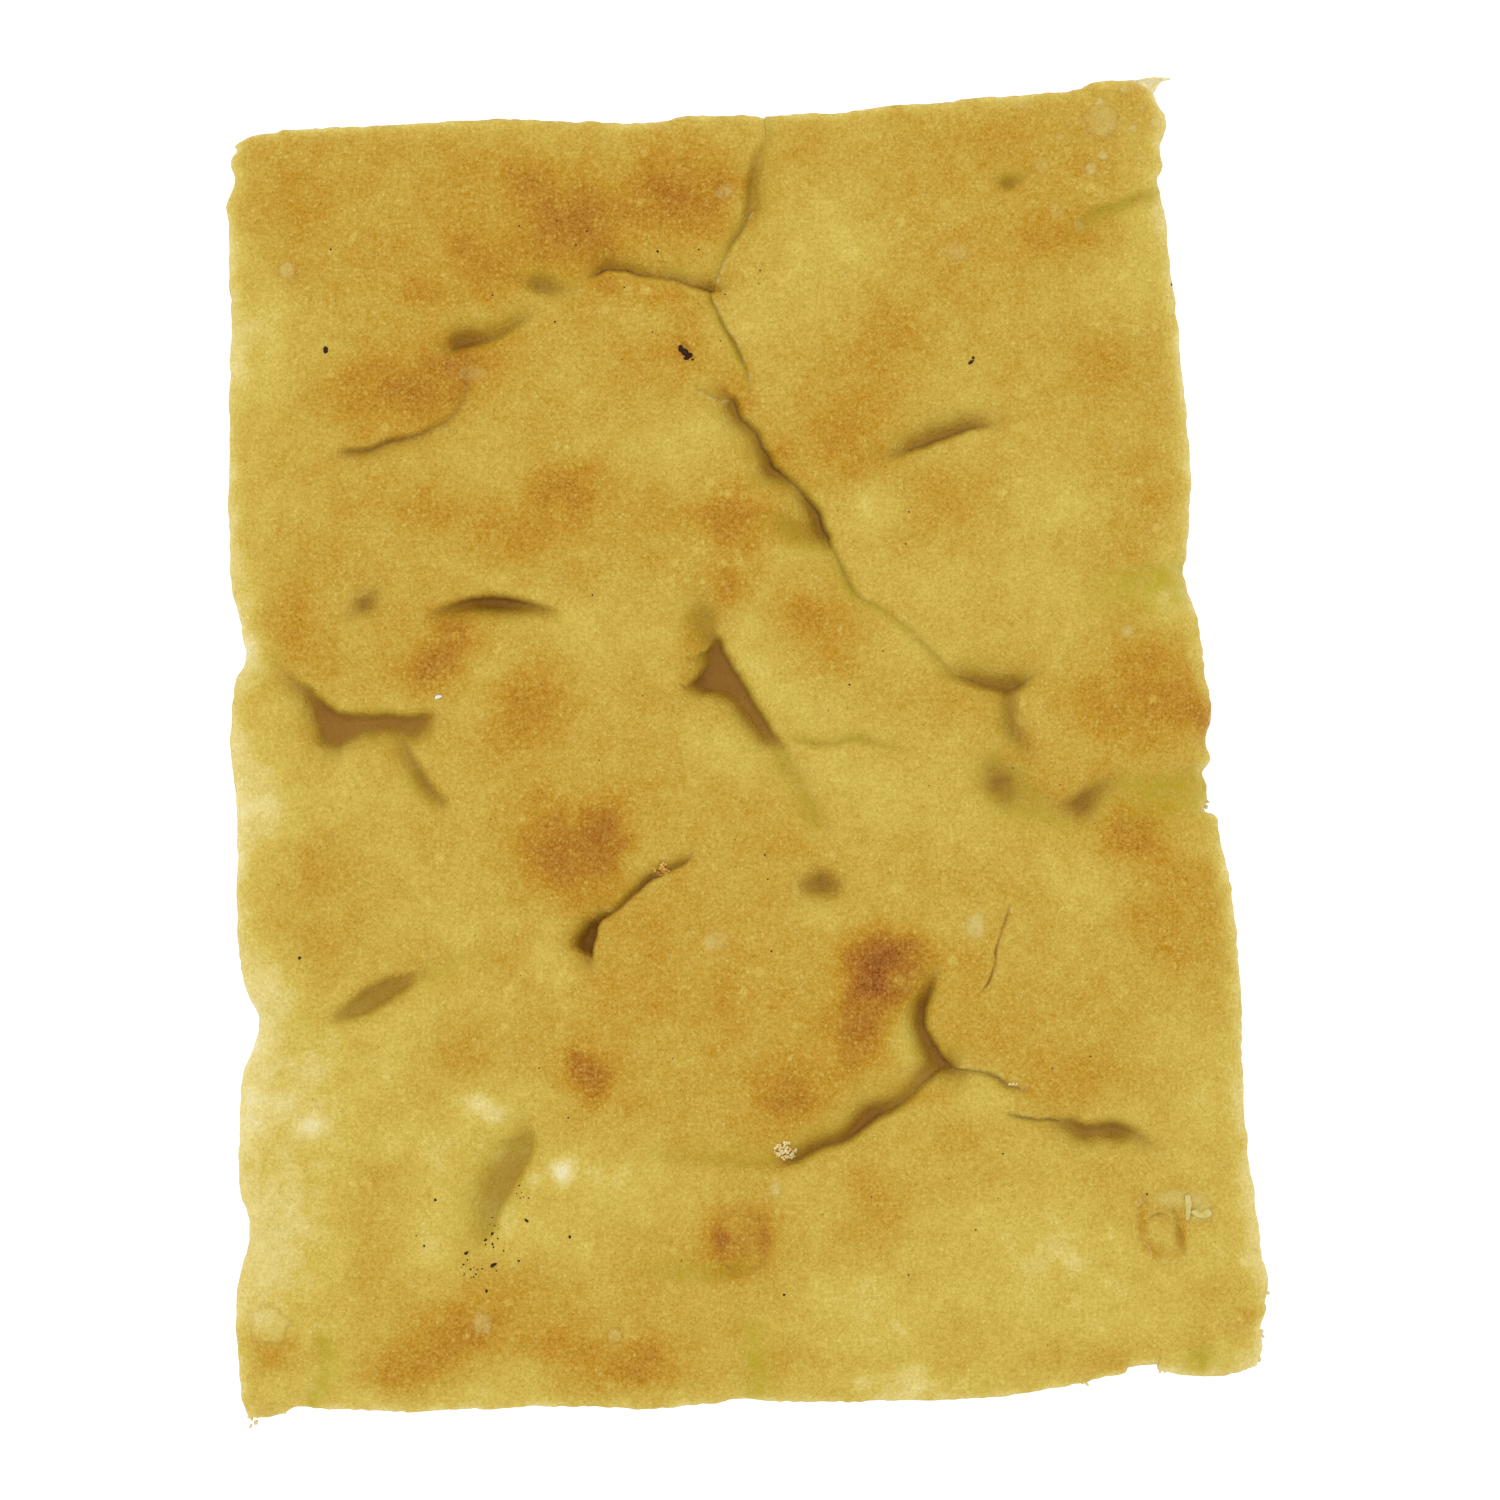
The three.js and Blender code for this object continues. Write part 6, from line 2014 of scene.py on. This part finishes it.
@dataclass
class ThinSheets:
    """Thin torn sheets: the crumb flake at the top right corner and a burst blister's skins.

    Without a `level` the sheets lie on the crust, as high above it as `lift`. `curl` is how far a
    sheet bends up at its rim. All are in millimetres.
    """

    slab: Slab
    name: str
    shapes: tuple[Places, ...]
    finish: DryBit
    thick: float
    curl: float
    seed: int
    level: float | None = None
    lift: float = 0.15

    def make(self) -> bpy.types.Object:
        """Build and dress the sheets.

        Returns:
            The piece.
        """
        verts: list[tuple[float, float, float]] = []
        faces: list[tuple[int, ...]] = []
        rings, around = 6, 72
        for number, shape in enumerate(self.shapes):
            pixels = np.array(shape + shape[:1], float)
            line = smooth_line(np.column_stack(Photo.place(pixels[:, 0], pixels[:, 1])), 10)
            distance = along_line(line)
            target = np.linspace(0, distance[-1], around, endpoint=False)
            rim = np.column_stack([np.interp(target, distance, line[:, i]) for i in (0, 1)])
            middle = rim.mean(0)
            still = np.zeros(around)
            stray = 1 + 0.05 * unevenness(target, still, 0.9, self.seed + number)
            rim = middle + (rim - middle) * stray[:, None]
            first = len(verts)
            shares = np.repeat(np.arange(1, rings + 1) / rings, around)
            places = np.vstack([middle + np.tile(rim - middle, (rings, 1)) * shares[:, None], middle])
            shares = np.append(shares, 0.0)
            wave = unevenness(places[:, 0], places[:, 1], 1.5, self.seed + 5)
            ground = (self.slab.height_at(places[:, 0], places[:, 1]) + self.lift
                      if self.level is None else self.level)
            height = ground + self.curl * (shares ** 2 + 0.5 * wave)
            halves = self.thick / 2 * (shares < 1)
            for face_side in (1, -1):
                rows = np.column_stack([places, height + face_side * halves])[:-1] * MM
                verts.extend(map(tuple, rows))
            centre_high, centre_low = len(verts), len(verts) + 1
            for face_side in (1, -1):
                verts.append((*(middle * MM), (height[-1] + face_side * halves[-1]) * MM))
            lower = first + rings * around
            for i in range(around):
                j = (i + 1) % around
                faces.append((centre_high, first + i, first + j))
                faces.append((centre_low, lower + j, lower + i))
                for ring in range(rings - 1):
                    a, b = first + ring * around, first + (ring + 1) * around
                    faces.append((a + i, b + i, b + j, a + j))
                    a, b = lower + ring * around, lower + (ring + 1) * around
                    faces.append((a + i, a + j, b + j, b + i))
        mesh = bpy.data.meshes.new(self.name)
        mesh.from_pydata(verts, [], faces)
        joined = bmesh.new()
        joined.from_mesh(mesh)
        bmesh.ops.remove_doubles(joined, verts=joined.verts, dist=1e-7)
        joined.to_mesh(mesh)
        joined.free()
        return finished_piece(self.name, mesh, self.finish.made())


# ---- Studio ----


@dataclass
class Studio:
    """White paper, soft even light and a camera straight above, as in the photograph."""

    lens: float = 135.0
    sensor: float = 36.0
    true_level: float = 16.0
    dome: float = 0.97
    lamp_power: float = 1.0
    lamp_size: float = 0.7
    lamp_place: tuple[float, float, float] = (-0.55, 0.60, 0.95)
    paper_size: float = 1.6

    def make(self) -> None:
        """Set up the paper, the lights and the camera."""
        scene = bpy.context.scene
        scene.view_settings.view_transform = "Standard"
        self._paper()
        world = bpy.data.worlds.new("studio_dome")
        world.use_nodes = True
        background = world.node_tree.nodes["Background"]
        background.inputs["Color"].default_value = (1, 1, 1, 1)
        background.inputs["Strength"].default_value = self.dome
        scene.world = world
        lamp = bpy.data.lights.new("soft_box", "AREA")
        lamp.energy = self.lamp_power
        lamp.size = self.lamp_size
        holder = bpy.data.objects.new("soft_box", lamp)
        holder.location = self.lamp_place
        holder.rotation_euler = (-Vector(self.lamp_place)).to_track_quat("-Z", "Y").to_euler()
        scene.collection.objects.link(holder)
        camera = bpy.data.cameras.new("overhead")
        camera.lens = self.lens
        camera.sensor_width = self.sensor
        camera.clip_start = 0.05
        stand = bpy.data.objects.new("overhead", camera)
        seen = Photo.size / Photo.pixels_per_mm
        distance = seen * self.lens / self.sensor
        x, y = Photo.place(Photo.size / 2, Photo.size / 2)
        stand.location = (float(x) * MM, float(y) * MM, (self.true_level + distance) * MM)
        scene.collection.objects.link(stand)
        scene.camera = stand

    def _paper(self) -> None:
        """Lay the background paper."""
        paper = bmesh.new()
        bmesh.ops.create_grid(paper, x_segments=24, y_segments=24, size=self.paper_size)
        mesh = bpy.data.meshes.new("paper")
        paper.to_mesh(mesh)
        paper.free()
        mesh.materials.append(PaperFloor().made())
        floor = bpy.data.objects.new("paper", mesh)
        bpy.context.scene.collection.objects.link(floor)


def main() -> None:
    """Build the slab, what lies on it and the studio round it."""
    logging.basicConfig(level=logging.INFO, format="%(message)s")
    Studio().make()
    slab = Slab()
    loose_crumb = DryBit("loose_crumb", "fbecb4", "e0bf74", 0.5)
    toasted_crumb = DryBit("toasted_crumb", "ecc868", "b57f2a", 0.5)
    sea_salt = DryBit("sea_salt", "ffffff", "f2f0e8", 0.3, 0.4, 0.3)
    scorched_dough = DryBit("scorched_dough", "4a2410", "1c0d06", 0.25)
    dry_crumb = DryBit("dry_crumb", "f3e9bc", "dfc684", 0.4)
    torn_skin = DryBit("torn_skin", "f8f1cc", "ecd98c", 0.6, 0.2)
    burst_skin = DryBit("burst_skin", "dccb80", "c8b054", 0.7, 0.1)
    for part in (
        TopCrust(slab), CrumbWalls(slab), BaseCrust(slab),
        LooseBits(slab, "pale_crumbs", PALE_CRUMBS, loose_crumb, lump=0.19, seed=31),
        LooseBits(slab, "toasted_crumbs", TOASTED_CRUMBS, toasted_crumb, lump=0.24, seed=37),
        LooseBits(slab, "salt_grain", SALT_GRAINS, sea_salt, lump=0.2, seed=32),
        LooseBits(slab, "char_specks", SCORCHED + PINHOLES, scorched_dough, lump=0.1, seed=33,
                  flat=0.5, sunk=0.6),
        LooseBits(slab, "crumb_fringe", FRINGE, dry_crumb, lump=0.26, seed=34, level=13.5),
        ThinSheets(slab, "torn_flake", (TORN_FLAKE,), torn_skin, 1.4, 0.5, 35, level=13.8),
        ThinSheets(slab, "blister_skins", BLISTER_SKINS, burst_skin, 0.12, 0.10, 36, lift=0.1),
    ):
        piece = part.make()
        log.info("%s: %d faces", piece.name, len(piece.data.polygons))


if __name__ == "__main__":
    main()
